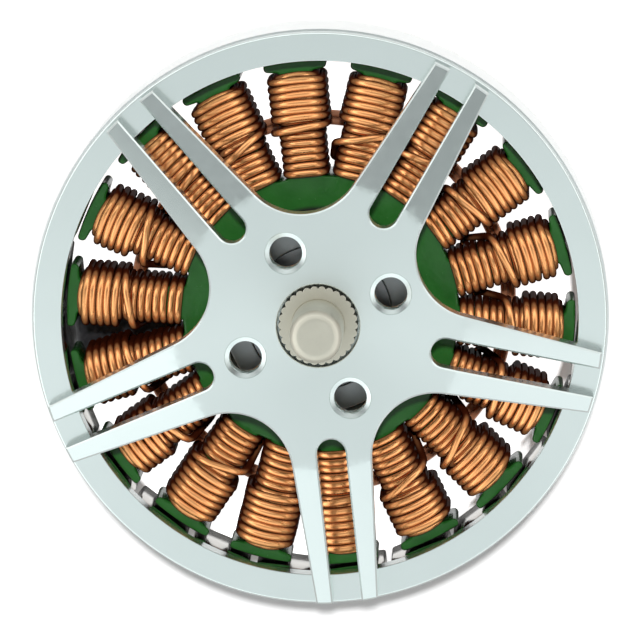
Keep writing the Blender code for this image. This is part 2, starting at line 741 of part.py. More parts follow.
def build_coils():
    wound = coil_mesh()
    for index in range(TOOTH_COUNT):
        angle = TOOTH_PHASE + math.tau * index / TOOTH_COUNT
        add_piece(f"coil_{index + 1:02d}", wound, COPPER, STATOR, angle)


def jumper_places():
    """Radius and height of each wire in the bundle: two side by side and one nested below."""
    pitch = 2 * JUMPER_RADIUS + JUMPER_GAP
    height = WINDING_BOTTOM - JUMPER_GAP - JUMPER_RADIUS
    nested = (JUMPER_CIRCLE, height - pitch * math.sin(math.pi / 3))
    return [(JUMPER_CIRCLE - pitch / 2, height), nested, (JUMPER_CIRCLE + pitch / 2, height)]


def build_jumpers():
    """Wires that join the coils, bent round under the windings."""
    for index, (radius, height) in enumerate(jumper_places()):
        curve = bpy.data.curves.new("jumper wire", 'CURVE')
        curve.dimensions = '3D'
        curve.bevel_depth = JUMPER_RADIUS
        curve.bevel_resolution = 1
        curve.use_fill_caps = True
        start = SLEEVE_ANGLE + JUMPER_OPENING / 2
        route = arc((0.0, 0.0), radius, start, start + math.tau - JUMPER_OPENING, JUMPER_FACETS)
        spline = curve.splines.new('POLY')
        spline.points.add(len(route) - 1)
        for point, (x, y) in zip(spline.points, route):
            point.co = (x, y, height, 1.0)
        add_piece(f"jumper_wire_{index + 1}", curve_to_mesh(curve, "jumper wire"), COPPER, STATOR)


def build_sleeve():
    """Flat sleeve over the winding ends, along the radius where the leads leave the motor."""
    top = WINDING_BOTTOM - 2 * JUMPER_GAP - 2 * JUMPER_RADIUS
    inner = FOOT_RADIUS + SLEEVE_SETBACK
    outer = STATOR_RADIUS
    shape = bmesh.new()
    bmesh.ops.create_cube(shape, size=1.0)
    for vertex in shape.verts:
        vertex.co.x = (inner + outer) / 2 + vertex.co.x * (outer - inner)
        vertex.co.y *= SLEEVE_WIDTH
        vertex.co.z = top - SLEEVE_THICKNESS / 2 + vertex.co.z * SLEEVE_THICKNESS
    mesh = bpy.data.meshes.new("winding end sleeve")
    shape.to_mesh(mesh)
    shape.free()
    sleeve = add_piece("lead_sleeve", mesh, SLEEVING, STATOR, SLEEVE_ANGLE)
    bevel = sleeve.modifiers.new("rounded edges", 'BEVEL')
    bevel.width = SLEEVE_CHAMFER
    bevel.segments = 1


build_bell()
build_flux_ring()
build_magnets()
build_shaft()
build_bearings()
build_shim_and_clip()
build_base()
build_core()
build_coils()
build_jumpers()
build_sleeve()
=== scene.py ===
import math

import bmesh
import bpy
import numpy as np
from mathutils import Matrix, Vector
from mathutils.geometry import delaunay_2d_cdt


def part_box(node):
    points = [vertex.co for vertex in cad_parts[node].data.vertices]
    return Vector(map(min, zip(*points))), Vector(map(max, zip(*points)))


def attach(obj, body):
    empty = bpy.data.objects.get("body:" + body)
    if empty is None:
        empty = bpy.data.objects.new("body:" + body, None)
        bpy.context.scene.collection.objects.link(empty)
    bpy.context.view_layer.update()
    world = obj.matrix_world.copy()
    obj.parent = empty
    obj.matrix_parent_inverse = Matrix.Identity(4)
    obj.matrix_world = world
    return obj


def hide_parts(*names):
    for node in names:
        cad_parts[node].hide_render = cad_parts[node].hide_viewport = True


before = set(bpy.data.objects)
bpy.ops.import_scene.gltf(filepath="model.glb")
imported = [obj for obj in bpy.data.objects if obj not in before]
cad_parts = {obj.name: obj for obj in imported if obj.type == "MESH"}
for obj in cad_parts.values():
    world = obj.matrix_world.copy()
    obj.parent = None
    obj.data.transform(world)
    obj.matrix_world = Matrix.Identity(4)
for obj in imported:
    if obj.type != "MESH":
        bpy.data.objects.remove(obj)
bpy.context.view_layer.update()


# Base
# Foot, seat and bearing tube, turned from one bar of aluminium on a lathe, then drilled and
# tapped in the foot for the four screws that hold the motor. The tube carries both bearings.

MM = 0.001


class Reading:
    """A socket of a node tree that takes part in sums."""

    def __init__(self, plan, socket):
        self.plan = plan
        self.socket = socket

    def maths(self, operation, *values):
        return self.plan.node("ShaderNodeMath", {"operation": operation}, dict(enumerate(values)))

    def __add__(self, other):
        return self.maths('ADD', self, other)

    __radd__ = __add__

    def __sub__(self, other):
        return self.maths('SUBTRACT', self, other)

    def __rsub__(self, other):
        return self.maths('SUBTRACT', other, self)

    def __mul__(self, other):
        return self.maths('MULTIPLY', self, other)

    __rmul__ = __mul__

    def __truediv__(self, other):
        return self.maths('DIVIDE', self, other)

    def __rtruediv__(self, other):
        return self.maths('DIVIDE', other, self)

    def __pow__(self, other):
        return self.maths('POWER', self, other)

    def __abs__(self):
        return self.maths('ABSOLUTE', self)

    def sine(self):
        return self.maths('SINE', self)

    def cosine(self):
        return self.maths('COSINE', self)

    def floor(self):
        return self.maths('FLOOR', self)

    def rise(self, start, end, low=0.0, high=1.0):
        """A smooth step from low to high while this goes from start to end."""
        return self.plan.node("ShaderNodeMapRange", {"interpolation_type": 'SMOOTHSTEP'},
                              {0: self, 1: start, 2: end, 3: low, 4: high})


class Plan:
    """A node tree, written as Python."""

    def __init__(self, tree):
        self.tree = tree
        self.tree.nodes.clear()

    def node(self, kind, settings=None, inputs=None, output=0):
        """One node: its settings first, then the values or links of its sockets."""
        made = self.tree.nodes.new(kind)
        for name, value in (settings or {}).items():
            if name == "stops":
                ramp = made.color_ramp.elements
                while len(ramp) < len(value):
                    ramp.new(1.0)
                for stop, (place, colour) in zip(ramp, value):
                    stop.position = place
                    stop.color = (*colour, 1.0)
            else:
                setattr(made, name, value)
        for name, value in (inputs or {}).items():
            if isinstance(value, Reading):
                self.tree.links.new(value.socket, made.inputs[name])
            else:
                made.inputs[name].default_value = value
        return Reading(self, made.outputs[output]) if made.outputs else None

    def place(self, source="Object"):
        """The point's x, y and z on the motor, in metres, or another coordinate's."""
        spot = self.node("ShaderNodeTexCoord", output=source)
        return [self.node("ShaderNodeSeparateXYZ", inputs={0: spot}, output=axis)
                for axis in range(3)]

    def speckle(self, scale, detail=3.0, roughness=0.5):
        """Noise from 0 to 1 over the motor, scale times to the metre."""
        spot = self.node("ShaderNodeTexCoord", output="Object")
        return self.node("ShaderNodeTexNoise", {"noise_dimensions": '3D'}, {
            "Vector": spot, "Scale": scale, "Detail": detail, "Roughness": roughness})

    def tint(self, amount, low, high):
        """A colour between two, by an amount from 0 to 1."""
        return self.node("ShaderNodeValToRGB", {"stops": [(0.0, low), (1.0, high)]}, {0: amount})

    def blend(self, amount, low, high):
        """A colour between a reading and a plain colour, by an amount from 0 to 1."""
        return self.node("ShaderNodeMix", {"data_type": 'RGBA'},
                         {0: amount, 6: low, 7: (*high, 1.0)}, output=2)

    def bump(self, height, depth):
        """A normal for a height from 0 to 1 that stands this deep, in metres."""
        return self.node("ShaderNodeBump", inputs={
            "Height": height, "Distance": depth, "Strength": 1.0})


def finish(name, **sockets):
    """A material whose surface gets these values or readings, made by a function of its plan."""
    material = bpy.data.materials.new(name)
    material.use_nodes = True
    plan = Plan(material.node_tree)
    given = {label: value(plan) if callable(value) else value for label, value in sockets.items()}
    surface = {label.replace("_", " "): value for label, value in given.items()}
    shader = plan.node("ShaderNodeBsdfPrincipled", inputs=surface)
    plan.node("ShaderNodeOutputMaterial", inputs={"Surface": shader})
    return material


def eased(corners, size=0.08 * MM, steps=3):
    """Round the corners of a closed or axis-ended profile a little, with a point close to each side
    of every round, so that the flat faces between them shade flat."""
    on_axis = corners[0][0] == 0
    points = []
    for index, corner in enumerate(corners):
        if on_axis and index in (0, len(corners) - 1):
            points.append(corner)
            continue
        here = Vector(corner)
        before = Vector(corners[index - 1]) - here
        after = Vector(corners[(index + 1) % len(corners)]) - here
        reach = min(size, 0.3 * before.length, 0.3 * after.length)
        start = here + before.normalized() * reach
        end = here + after.normalized() * reach
        points.append(tuple(start + before.normalized() * reach * 0.25))
        for step in range(steps + 1):
            t = step / steps
            points.append(tuple(start * (1 - t) ** 2 + here * 2 * t * (1 - t) + end * t ** 2))
        points.append(tuple(end + after.normalized() * reach * 0.25))
    return points


def linked(name, data):
    """A new object, linked to the scene."""
    item = bpy.data.objects.new(name, data)
    bpy.context.scene.collection.objects.link(item)
    return item


def settled(piece):
    """Turn a piece with modifiers into the plain mesh that they make."""
    bpy.context.view_layer.update()
    graph = bpy.context.evaluated_depsgraph_get()
    mesh = bpy.data.meshes.new_from_object(piece.evaluated_get(graph))
    piece.modifiers.clear()
    piece.data = mesh
    return piece


SLIVER_AREA = 1e-12


def closed_piece(name, shape, crease=math.radians(32)):
    """Make an object of a closed bmesh, without the slivers that filling an outline leaves: smooth,
    but crisp where its faces turn sharply."""
    slivers = [face for face in shape.faces if face.calc_area() < SLIVER_AREA]
    bmesh.ops.delete(shape, geom=slivers, context='FACES')
    bmesh.ops.recalc_face_normals(shape, faces=shape.faces)
    for face in shape.faces:
        face.smooth = True
    for edge in shape.edges:
        edge.smooth = edge.calc_face_angle(0.0) < crease
    mesh = bpy.data.meshes.new(name)
    shape.to_mesh(mesh)
    shape.free()
    return linked(name, mesh)


def polar(radius, angle, centre=(0.0, 0.0)):
    """The point at this radius and angle about a centre."""
    return centre[0] + radius * math.cos(angle), centre[1] + radius * math.sin(angle)


def turn(shape, profile, facets, centre=(0.0, 0.0)):
    """Turn a profile of (radius, height) points about an upright axis into a bmesh."""
    rings = []
    for radius, height in profile:
        if radius == 0:
            rings.append([shape.verts.new((*centre, height))])
            continue
        rings.append([shape.verts.new((*polar(radius, math.tau * i / facets, centre), height))
                      for i in range(facets)])
    pairs = list(zip(rings, rings[1:]))
    if profile[0][0] > 0:
        pairs.append((rings[-1], rings[0]))
    for upper, lower in pairs:
        for i in range(facets):
            j = (i + 1) % facets
            corners = [upper[i % len(upper)], upper[j % len(upper)],
                       lower[j % len(lower)], lower[i % len(lower)]]
            face = list(dict.fromkeys(corners))
            if len(face) > 2:
                shape.faces.new(face)


def turned(name, profile, facets=128):
    shape = bmesh.new()
    turn(shape, profile, facets)
    return closed_piece(name, shape)


def fit(piece, material, body, slot, *nodes):
    """Give a finished piece its material, and seat it in place of the plain nodes it stands for."""
    piece.data.materials.clear()
    piece.data.materials.append(material)
    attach(piece, body)
    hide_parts(*nodes)


# How far pieces that are pressed or slid together stand apart
FIT = 0.03 * MM
SHAFT_RADIUS = 2.0 * MM
BEARING_RADIUS = 5.5 * MM
TUBE_RADIUS = 7.3 * MM
TUBE_TOP = 13.83 * MM
SEAT_RADIUS = 9.6 * MM
SEAT_TOP = 5.38 * MM
FOOT_RADIUS = 10.2 * MM
FOOT_TOP = 3.0 * MM
SEAT_CHAMFER = 0.45 * MM
FOOT_CHAMFER = 0.35 * MM
REAR_LEDGE = 5.32 * MM
FRONT_LEDGE = 9.77 * MM
LEDGE_BORE = 3.93 * MM
FOOT_SCREWS = 4
FOOT_SCREW_PHASE = math.radians(45)
FOOT_SCREW_CIRCLE = 8.0 * MM
FOOT_SCREW_RADIUS = 1.25 * MM
FOOT_SCREW_DEPTH = 4.0 * MM
FOOT_SCREW_SINK = 0.25 * MM
DRILL_POINT = 0.5 * MM
DRILL_PAST = 0.1 * MM
bearing_seat = BEARING_RADIUS + FIT
shaft_bore = SHAFT_RADIUS + FIT


def from_axis(x, y):
    """How far a point lies from the shaft's axis."""
    return (x * x + y * y) ** 0.5


def tool_marks(plan, pitch):
    """Height of the fine uneven rings that a lathe leaves about the shaft's axis."""
    x, y, z = plan.place()
    return plan.node("ShaderNodeTexNoise", {"noise_dimensions": '1D'}, {
        "W": from_axis(x, y) + z, "Scale": 1 / pitch, "Detail": 3.0, "Roughness": 0.6})


def lathed(pitch, depth):
    """Tool marks as a normal."""
    return lambda plan: plan.bump(tool_marks(plan, pitch), depth)


def tinted(scale, low, high, detail=3.0):
    """A colour speckled between two, scale times to the metre."""
    return lambda plan: plan.tint(plan.speckle(scale, detail), low, high)


def grained(scale, spread, least):
    """A value speckled upwards from the least, scale times to the metre."""
    return lambda plan: plan.speckle(scale) * spread + least


# Its base colour is far darker than aluminium: painted shade, for the tube and foot seen deep down the
# hub's holes
aluminium_in_painted_shade = finish(
    "turned aluminium",
    Base_Color=tinted(900.0, (0.27, 0.28, 0.285), (0.34, 0.35, 0.355)),
    Metallic=1.0,
    Roughness=grained(2500.0, 0.12, 0.26),
    Normal=lathed(0.22 * MM, 0.0009 * MM))

foot = turned("motor_base", eased([
    (TUBE_RADIUS, TUBE_TOP),
    (TUBE_RADIUS, SEAT_TOP),
    (SEAT_RADIUS - SEAT_CHAMFER, SEAT_TOP),
    (SEAT_RADIUS, SEAT_TOP - SEAT_CHAMFER),
    (SEAT_RADIUS, FOOT_TOP),
    (FOOT_RADIUS - FOOT_CHAMFER, FOOT_TOP),
    (FOOT_RADIUS, FOOT_TOP - FOOT_CHAMFER),
    (FOOT_RADIUS, 0.0),
    (bearing_seat, 0.0),
    (bearing_seat, REAR_LEDGE),
    (LEDGE_BORE, REAR_LEDGE),
    (LEDGE_BORE, FRONT_LEDGE),
    (bearing_seat, FRONT_LEDGE),
    (bearing_seat, TUBE_TOP),
]))


def drilled(piece, profile, circle, count, first, facets=32):
    """Cut holes of this profile into a piece, evenly round the shaft's axis."""
    shape = bmesh.new()
    for hole in range(count):
        turn(shape, profile, facets, polar(circle, first + math.tau * hole / count))
    drills = closed_piece("drills", shape)
    cut = piece.modifiers.new("drill", 'BOOLEAN')
    cut.object = drills
    settled(piece)
    bpy.data.objects.remove(drills)


drilled(foot, [
    (0.0, FOOT_SCREW_DEPTH + DRILL_POINT),
    (FOOT_SCREW_RADIUS, FOOT_SCREW_DEPTH),
    (FOOT_SCREW_RADIUS, FOOT_SCREW_SINK),
    (FOOT_SCREW_RADIUS + FOOT_SCREW_SINK + DRILL_PAST, -DRILL_PAST),
    (0.0, -DRILL_PAST),
], FOOT_SCREW_CIRCLE, FOOT_SCREWS, FOOT_SCREW_PHASE)
fit(foot, aluminium_in_painted_shade, "stator", "base", "base")


# Laminated core
# A stack of thin steel sheets with eighteen T-shaped teeth, pressed on the tube. The whole stack
# is dipped in green epoxy, which rounds every edge and keeps the wire from the steel.

TOOTH_COUNT = 18
TOOTH_PHASE = math.radians(16.0)
TOOTH_WIDTH = 2.4 * MM
STATOR_RADIUS = 19.5 * MM
YOKE_RADIUS = 10.58 * MM
CORE_BORE = 7.33 * MM
TIP_EDGE = 0.6 * MM
TIP_ROOT = 0.9 * MM
TIP_FACETS = 8
SLOT_OPENING = 1.9 * MM
CORE_BOTTOM = 5.4 * MM
CORE_TOP = 11.4 * MM
CORNER_ROUND = 0.32 * MM
OUTLINE_STEP = 0.6 * MM
COAT_ROUND = 0.2 * MM
# Within this radius the core is painted near black: painted shade in the gap between the tube and the
# core
BORE_SHADE_RADIUS = 8.0 * MM
BORE_SHADE_FADE = 0.4 * MM


def arc(centre, radius, start, end, steps):
    """Points along an arc, both ends included."""
    return [polar(radius, start + (end - start) * i / steps, centre) for i in range(steps + 1)]


def ring_of(radius, count=96, centre=(0.0, 0.0)):
    """A hole's outline, clockwise."""
    return [polar(radius, -math.tau * i / count, centre) for i in range(count)]


def swung(points, angle):
    """Points of a plane, turned about the shaft's axis."""
    c, s = math.cos(angle), math.sin(angle)
    return [(x * c - y * s, x * s + y * c) for x, y in points]


def spaced(points, gap):
    """A closed outline with extra points, so that none are further apart than the gap."""
    result = []
    for here, there in zip(points, points[1:] + points[:1]):
        steps = max(1, math.ceil(math.dist(here, there) / gap))
        result += [(here[0] + (there[0] - here[0]) * i / steps,
                    here[1] + (there[1] - here[1]) * i / steps) for i in range(steps)]
    return result


def rounded(points, radius, steps=4):
    """A closed outline with arcs for its corners."""
    result = []
    for index, corner in enumerate(points):
        here = Vector(corner)
        before = Vector(points[index - 1]) - here
        after = Vector(points[(index + 1) % len(points)]) - here
        bend = math.pi - before.angle(after)
        if bend < math.radians(25):
            result.append(corner)
            continue
        reach = min(radius * math.tan(bend / 2), 0.46 * before.length, 0.46 * after.length)
        start = here + before.normalized() * reach
        end = here + after.normalized() * reach
        pull = math.cos(bend / 2)
        for t in [step / steps for step in range(steps + 1)]:
            first, middle, last = (1 - t) ** 2, 2 * pull * t * (1 - t), t ** 2
            result.append(tuple((start * first + here * middle + end * last) / (first + middle + last)))
    return result


def inset(points, distance):
    """A closed outline moved to its left, which is inwards on an edge and outwards on a hole."""
    shape = np.array(points)
    ahead = np.roll(shape, -1, axis=0) - shape
    ahead /= np.linalg.norm(ahead, axis=1)[:, None]
    left = np.stack([-ahead[:, 1], ahead[:, 0]], axis=1)
    other = np.roll(left, 1, axis=0)
    mitre = (left + other) / (1 + np.sum(left * other, axis=1))[:, None]
    return [tuple(point) for point in shape + mitre * distance]


def inside(outlines, points):
    """Which points lie within the first outline and outside the others."""
    points = np.array(points)
    crossings = np.zeros(len(points), int)
    for outline in outlines:
        start = np.array(outline)
        end = np.roll(start, -1, axis=0)
        for (x1, y1), (x2, y2) in zip(start, end):
            if y1 == y2:
                continue
            spans = (points[:, 1] >= min(y1, y2)) & (points[:, 1] < max(y1, y2))
            reach = x1 + (points[:, 1] - y1) * (x2 - x1) / (y2 - y1)
            crossings += spans & (points[:, 0] < reach)
    return crossings % 2 == 1


def cap(shape, rims, height, loose=()):
    """Fill the plane between rims, which are lists of bmesh vertices, through some loose points."""
    corners = [vertex for rim in rims for vertex in rim]
    outlines = [[tuple(vertex.co.xy) for vertex in rim] for rim in rims]
    edges = []
    for rim in rims:
        first = corners.index(rim[0])
        edges += [(first + i, first + (i + 1) % len(rim)) for i in range(len(rim))]
    spots = [Vector(vertex.co.xy) / MM for vertex in corners]
    spots += [Vector(point) / MM for point in loose]
    places, _, faces, origins, _, _ = delaunay_2d_cdt(spots, edges, [], 0, 1e-5)
    inner = [shape.verts.new((x, y, height(x, y))) for x, y in loose]
    vertices = corners + inner
    centres = [sum((places[i] for i in face), Vector((0, 0))) / 3 * MM for face in faces]
    for face, keep in zip(faces, inside(outlines, centres)):
        if keep:
            shape.faces.new([vertices[origins[i][0]] for i in face])


def wall(shape, upper, lower):
    """Join two rims of as many vertices by a band of faces."""
    for i in range(len(upper)):
        j = (i + 1) % len(upper)
        shape.faces.new((upper[i], upper[j], lower[j], lower[i]))


def rim(shape, points, height):
    return [shape.verts.new((x, y, height(x, y))) for x, y in points]


def level(height):
    return lambda x, y: height


def coated_plate(name, outlines, bottom, top, edge, steps=4):
    """A plate with every edge rounded, from its outline and those of its holes."""
    shape = bmesh.new()
    turns = [math.pi / 2 * step / steps for step in range(steps + 1)]
    rows = [(edge * (1 - math.sin(t)), top - edge * (1 - math.cos(t))) for t in turns]
    rows = [(edge * 1.1, top)] + rows
    rows += [(depth, bottom + top - height) for depth, height in reversed(rows)]
    layers = []
    for depth, height in rows:
        layers.append([rim(shape, inset(outline, depth), level(height)) for outline in outlines])
    for upper, lower in zip(layers, layers[1:]):
        for above, below in zip(upper, lower):
            wall(shape, above, below)
    cap(shape, layers[0], level(top))
    cap(shape, layers[-1], level(bottom))
    return closed_piece(name, shape)


def core_edge():
    """Outline of the stack of sheets, anticlockwise."""
    tip_half = math.pi / TOOTH_COUNT - math.asin(SLOT_OPENING / 2 / STATOR_RADIUS)
    neck = TOOTH_WIDTH / 2
    root = YOKE_RADIUS * math.cos(math.asin(neck / YOKE_RADIUS))
    lip_x, lip_y = polar(STATOR_RADIUS - TIP_EDGE, tip_half)
    tooth = [(root, -neck), (STATOR_RADIUS - TIP_ROOT, -neck), (lip_x, -lip_y)]
    tooth += arc((0.0, 0.0), STATOR_RADIUS, -tip_half, tip_half, TIP_FACETS)
    tooth += [(lip_x, lip_y), (STATOR_RADIUS - TIP_ROOT, neck), (root, neck)]
    whole = []
    for index in range(TOOTH_COUNT):
        whole += swung(tooth, TOOTH_PHASE + math.tau * index / TOOTH_COUNT)
    return spaced(rounded(whole, CORNER_ROUND), OUTLINE_STEP)


def uneven(scale, detail, depth):
    """Low waves as a normal, scale times to the metre."""
    return lambda plan: plan.bump(plan.speckle(scale, detail), depth)


def core_colour(plan):
    """Green coat, painted near black as shade near the bore and on the teeth's outer faces."""
    x, y, _ = plan.place()
    radius = from_axis(x, y)
    # Painted shade: near black on the teeth's outer faces, which face the magnets across the air gap,
    # and near the bore
    painted_shade = radius.rise(STATOR_RADIUS - 0.10 * MM, STATOR_RADIUS - 0.04 * MM)
    painted_shade = painted_shade + radius.rise(BORE_SHADE_RADIUS, BORE_SHADE_RADIUS + BORE_SHADE_FADE, 1.0, 0.0)
    green = plan.tint(plan.speckle(500.0), (0.008, 0.055, 0.008), (0.022, 0.115, 0.020))
    return plan.blend(painted_shade, green, (0.012, 0.013, 0.010))


green_epoxy = finish(
    "green epoxy coat",
    Base_Color=core_colour,
    Roughness=grained(1800.0, 0.16, 0.16),
    Specular_IOR_Level=0.32,
    Normal=uneven(900.0, 2.0, 0.05 * MM))

core = coated_plate("coated_core", [core_edge(), ring_of(CORE_BORE)],
                    CORE_BOTTOM, CORE_TOP, COAT_ROUND)
fit(core, green_epoxy, "stator", "stator_core", "stator_core")


# Coils
# Enamelled copper wire, wound by hand on each tooth: fourteen turns out to the tip, then a second
# layer back to half way, where the wire crosses over the front and dives into the slot.

COIL_TURNS = 14
WIRE = 0.56 * MM
COIL_START = 10.55 * MM
COIL_END = 18.47 * MM
LAYER_STEP = 0.5 * MM
COIL_CROWN = 0.5 * MM
TOOTH_GAP = 0.05 * MM
CORE_GAP = 0.03 * MM
VARNISH_SWELL = 1.03
STEPS_PER_TURN = 40
WIRE_FACETS = 12
# The higher, the squarer a turn goes round its tooth
SQUARENESS = 5.5


def new_tree(name, inputs):
    """A Geometry Nodes tree with named inputs, and its plan."""
    tree = bpy.data.node_groups.new(name, 'GeometryNodeTree')
    kinds = {float: 'NodeSocketFloat', int: 'NodeSocketInt',
             bpy.types.Material: 'NodeSocketMaterial'}
    tree.interface.new_socket("Geometry", in_out='INPUT', socket_type='NodeSocketGeometry')
    tree.interface.new_socket("Geometry", in_out='OUTPUT', socket_type='NodeSocketGeometry')
    for label, kind in inputs.items():
        tree.interface.new_socket(label, in_out='INPUT', socket_type=kinds[kind])
    plan = Plan(tree)
    source = tree.nodes.new("NodeGroupInput")
    plan.given = {socket.name: Reading(plan, socket) for socket in source.outputs if socket.name}
    return plan


def grown(plan, name, values, start=None):
    """Run a tree on a mesh and keep what it makes as a plain mesh."""
    piece = linked(name, start or bpy.data.meshes.new(name))
    grow = piece.modifiers.new("grow", 'NODES')
    grow.node_group = plan.tree
    for item in plan.tree.interface.items_tree:
        if item.in_out == 'INPUT' and item.name in values:
            grow[item.identifier] = values[item.name]
    settled(piece).data.name = name
    return piece


def ended(plan, geometry):
    """End a tree: instances made real, in the tree's material."""
    real = plan.node("GeometryNodeRealizeInstances", inputs={0: geometry})
    dyed = plan.node("GeometryNodeSetMaterial", inputs={
        "Geometry": real, "Material": plan.given["Material"]})
    plan.node("NodeGroupOutput", inputs={0: dyed})
    return plan


def winding_tree():
    """The wire of one coil, as a line of points that runs round the tooth and along it."""
    plan = new_tree("hand wound coil", {
        "Turns": float, "Upper turns": float, "Wire": float, "Start": float, "Pitch": float,
        "Half width": float, "Half height": float, "Middle": float, "Layer step": float,
        "Crown": float, "Cross": float, "Tail": float, "Direction": float, "Seed": int,
        "Material": bpy.types.Material})
    given = plan.given
    turns, upper, wire = given["Turns"], given["Upper turns"], given["Wire"]
    count = (turns + upper + 0.05) * STEPS_PER_TURN
    line = plan.node("GeometryNodeMeshLine", inputs={"Count": count})
    index = plan.node("GeometryNodeInputIndex")
    turn_now = index / STEPS_PER_TURN - 0.5
    # The wire steps on to the next turn at the rear, so that its front lies square to the tooth
    whole = turn_now.floor()
    part = turn_now - whole
    square = whole + part.rise(0.36, 0.64)
    along = square * 0.86 + turn_now * 0.14
    back = turns * 2 - 1.5 - along
    climb = (turn_now - turns).rise(-0.68, -0.30)
    # The last turn slants over the front, then runs back along the slot
    last = turn_now - turns - upper
    slant, dive = last.rise(-1.20, -0.84), last.rise(-0.92, -0.58)
    lane = along + (back - along) * climb - slant * given["Cross"] - dive * given["Tail"]
    # Each turn lies a little off its place, by its number
    number = (turn_now + 0.5).floor()
    stray = [plan.node("FunctionNodeRandomValue", {"data_type": 'FLOAT'},
                       {2: -1.0, 3: 1.0, "ID": number, "Seed": given["Seed"] + salt}, output=1)
             for salt in (0, 100, 200)]
    reach = given["Layer step"] * (climb + slant * 0.25 - dive * 0.35) + wire * 0.04 * stray[0]
    angle = (turn_now + 0.25) * math.tau
    across, aloft = angle.cosine(), angle.sine()
    scale = (abs(across) ** SQUARENESS + abs(aloft) ** SQUARENESS) ** (-1 / SQUARENESS)
    breadth = across * scale
    front = (1 - breadth * breadth) * aloft.maths('GREATER_THAN', aloft, 0.0)
    sideways = breadth * (given["Half width"] + reach) * -1
    upward = aloft * scale * (given["Half height"] + reach) + front * given["Crown"]
    upward = upward + given["Middle"]
    # The fronts bow outwards, more so towards the tip
    bow = front * (lane / turns * 0.22 + 0.12 + 0.05 * stray[2])
    lane = lane + 0.5 + 0.05 * stray[1] + across * 0.08 * stray[2] + bow
    outward = given["Start"] + given["Pitch"] * lane
    spot = plan.node("ShaderNodeCombineXYZ", inputs={0: outward, 1: sideways, 2: upward})
    route = plan.node("GeometryNodeMeshToCurve", inputs={0: line})
    route = plan.node("GeometryNodeSetPosition", inputs={"Geometry": route, "Position": spot})
    section = plan.node("GeometryNodeCurvePrimitiveCircle", inputs={
        "Resolution": WIRE_FACETS, "Radius": wire / 2})
    tube = plan.node("GeometryNodeCurveToMesh", inputs={
        "Curve": route, "Profile Curve": section, "Fill Caps": True})
    smooth = plan.node("GeometryNodeSetShadeSmooth", inputs={0: tube})
    facing = plan.node("ShaderNodeCombineXYZ", inputs={2: given["Direction"]})
    swing = plan.node("GeometryNodeTransform", inputs={"Geometry": smooth, "Rotation": facing})
    return ended(plan, swing)


def groove_shade(plan):
    """From 0 on the crests of the turns to 1 in the grooves and down the coil's sides: a mask of
    painted shade, where the turns shade each other and the sides face away from the light overhead."""
    _, _, upright = plan.place("Normal")
    return abs(upright).rise(0.28, 0.82, 1.0, 0.0)


def wire_colour(plan):
    copper = plan.tint(plan.speckle(600.0), (0.98, 0.40, 0.145), (1.0, 0.48, 0.20))
    # Painted shade: dark brown in the grooves between the turns and down the coil's sides
    return plan.blend(groove_shade(plan), copper, (0.065, 0.012, 0.004))


enamelled_copper = finish(
    "enamelled copper wire",
    Base_Color=wire_colour,
    # Where the shade is painted the wire is not metal, so that it mirrors little
    Metallic=lambda plan: groove_shade(plan) * -1 + 1,
    Specular_IOR_Level=0.0,
    Specular_Tint=(0.34, 0.13, 0.08, 1.0),
    Roughness=grained(1500.0, 0.10, 0.24),
    Coat_Weight=0.05,
    Coat_Roughness=0.08,
    Normal=uneven(900.0, 1.0, 0.006 * MM))

# For each coil: the turns of its upper layer, how many turns its last wire slants over the front,
# and how many it runs back along the slot
last_turns = [
    (6, 1.4, 4.5), (7, 1.6, 3.0), (7, 1.3, 2.5), (7, 2.2, 3.5), (7, 0.7, 1.0), (7, 2.0, 2.0),
    (7, 0.8, 1.5), (6, 1.8, 4.0), (6, 1.4, 2.0), (6, 1.0, 3.0), (6, 2.0, 4.0), (7, 1.8, 4.5),
    (7, 0.3, 1.0), (7, 0.5, 1.0), (6, 2.0, 4.5), (6, 2.4, 4.0), (6, 1.2, 3.5), (6, 1.5, 4.5)]
winding = winding_tree()
for number, (upper_turns, cross, tail) in enumerate(last_turns):
    coil = grown(winding, f"winding_{number + 1:02d}", {
        "Turns": float(COIL_TURNS),
        "Upper turns": float(upper_turns),
        "Wire": WIRE * VARNISH_SWELL,
        "Start": COIL_START,
        "Pitch": (COIL_END - COIL_START) / COIL_TURNS,
        "Half width": TOOTH_WIDTH / 2 + WIRE / 2 + TOOTH_GAP,
        "Half height": (CORE_TOP - CORE_BOTTOM) / 2 + WIRE / 2 + CORE_GAP,
        "Middle": (CORE_TOP + CORE_BOTTOM) / 2,
        "Layer step": LAYER_STEP,
        "Crown": COIL_CROWN,
        "Cross": cross,
        "Tail": tail,
        "Direction": TOOTH_PHASE + math.tau * number / TOOTH_COUNT,
        "Seed": 7 * number + 3,
        "Material": enamelled_copper,
    })
    fit(coil, enamelled_copper, "stator", "coils", f"coil_{number + 1:02d}")


# Connecting wires
# Three wires bent round behind the coils, which join their ends into three phases and are laced
# down with varnish. They show in the gaps between the coils.

JUMPER_RADIUS = 0.28 * MM
JUMPER_CIRCLE = 14.35 * MM
JUMPER_PLACES = ((-0.31 * MM, 3.95 * MM), (0.0, 3.41 * MM), (0.31 * MM, 3.95 * MM))
JUMPER_SWAY = 0.06 * MM
JUMPER_STEPS = 215
SLEEVE_ANGLE = math.radians(186.0)
# The wires start on one side of the sleeve and stop on the other
JUMPER_START = SLEEVE_ANGLE + math.radians(13)
JUMPER_SWEEP = math.radians(334)

varnished_wire = finish(
    "varnished copper wire",
    Base_Color=tinted(500.0, (0.30, 0.12, 0.065), (0.54, 0.26, 0.145)),
    Metallic=0.5,
    Roughness=grained(1200.0, 0.2, 0.3),
    Coat_Weight=0.4,
    Coat_Roughness=0.15,
    Normal=uneven(2000.0, 2.0, 0.02 * MM))

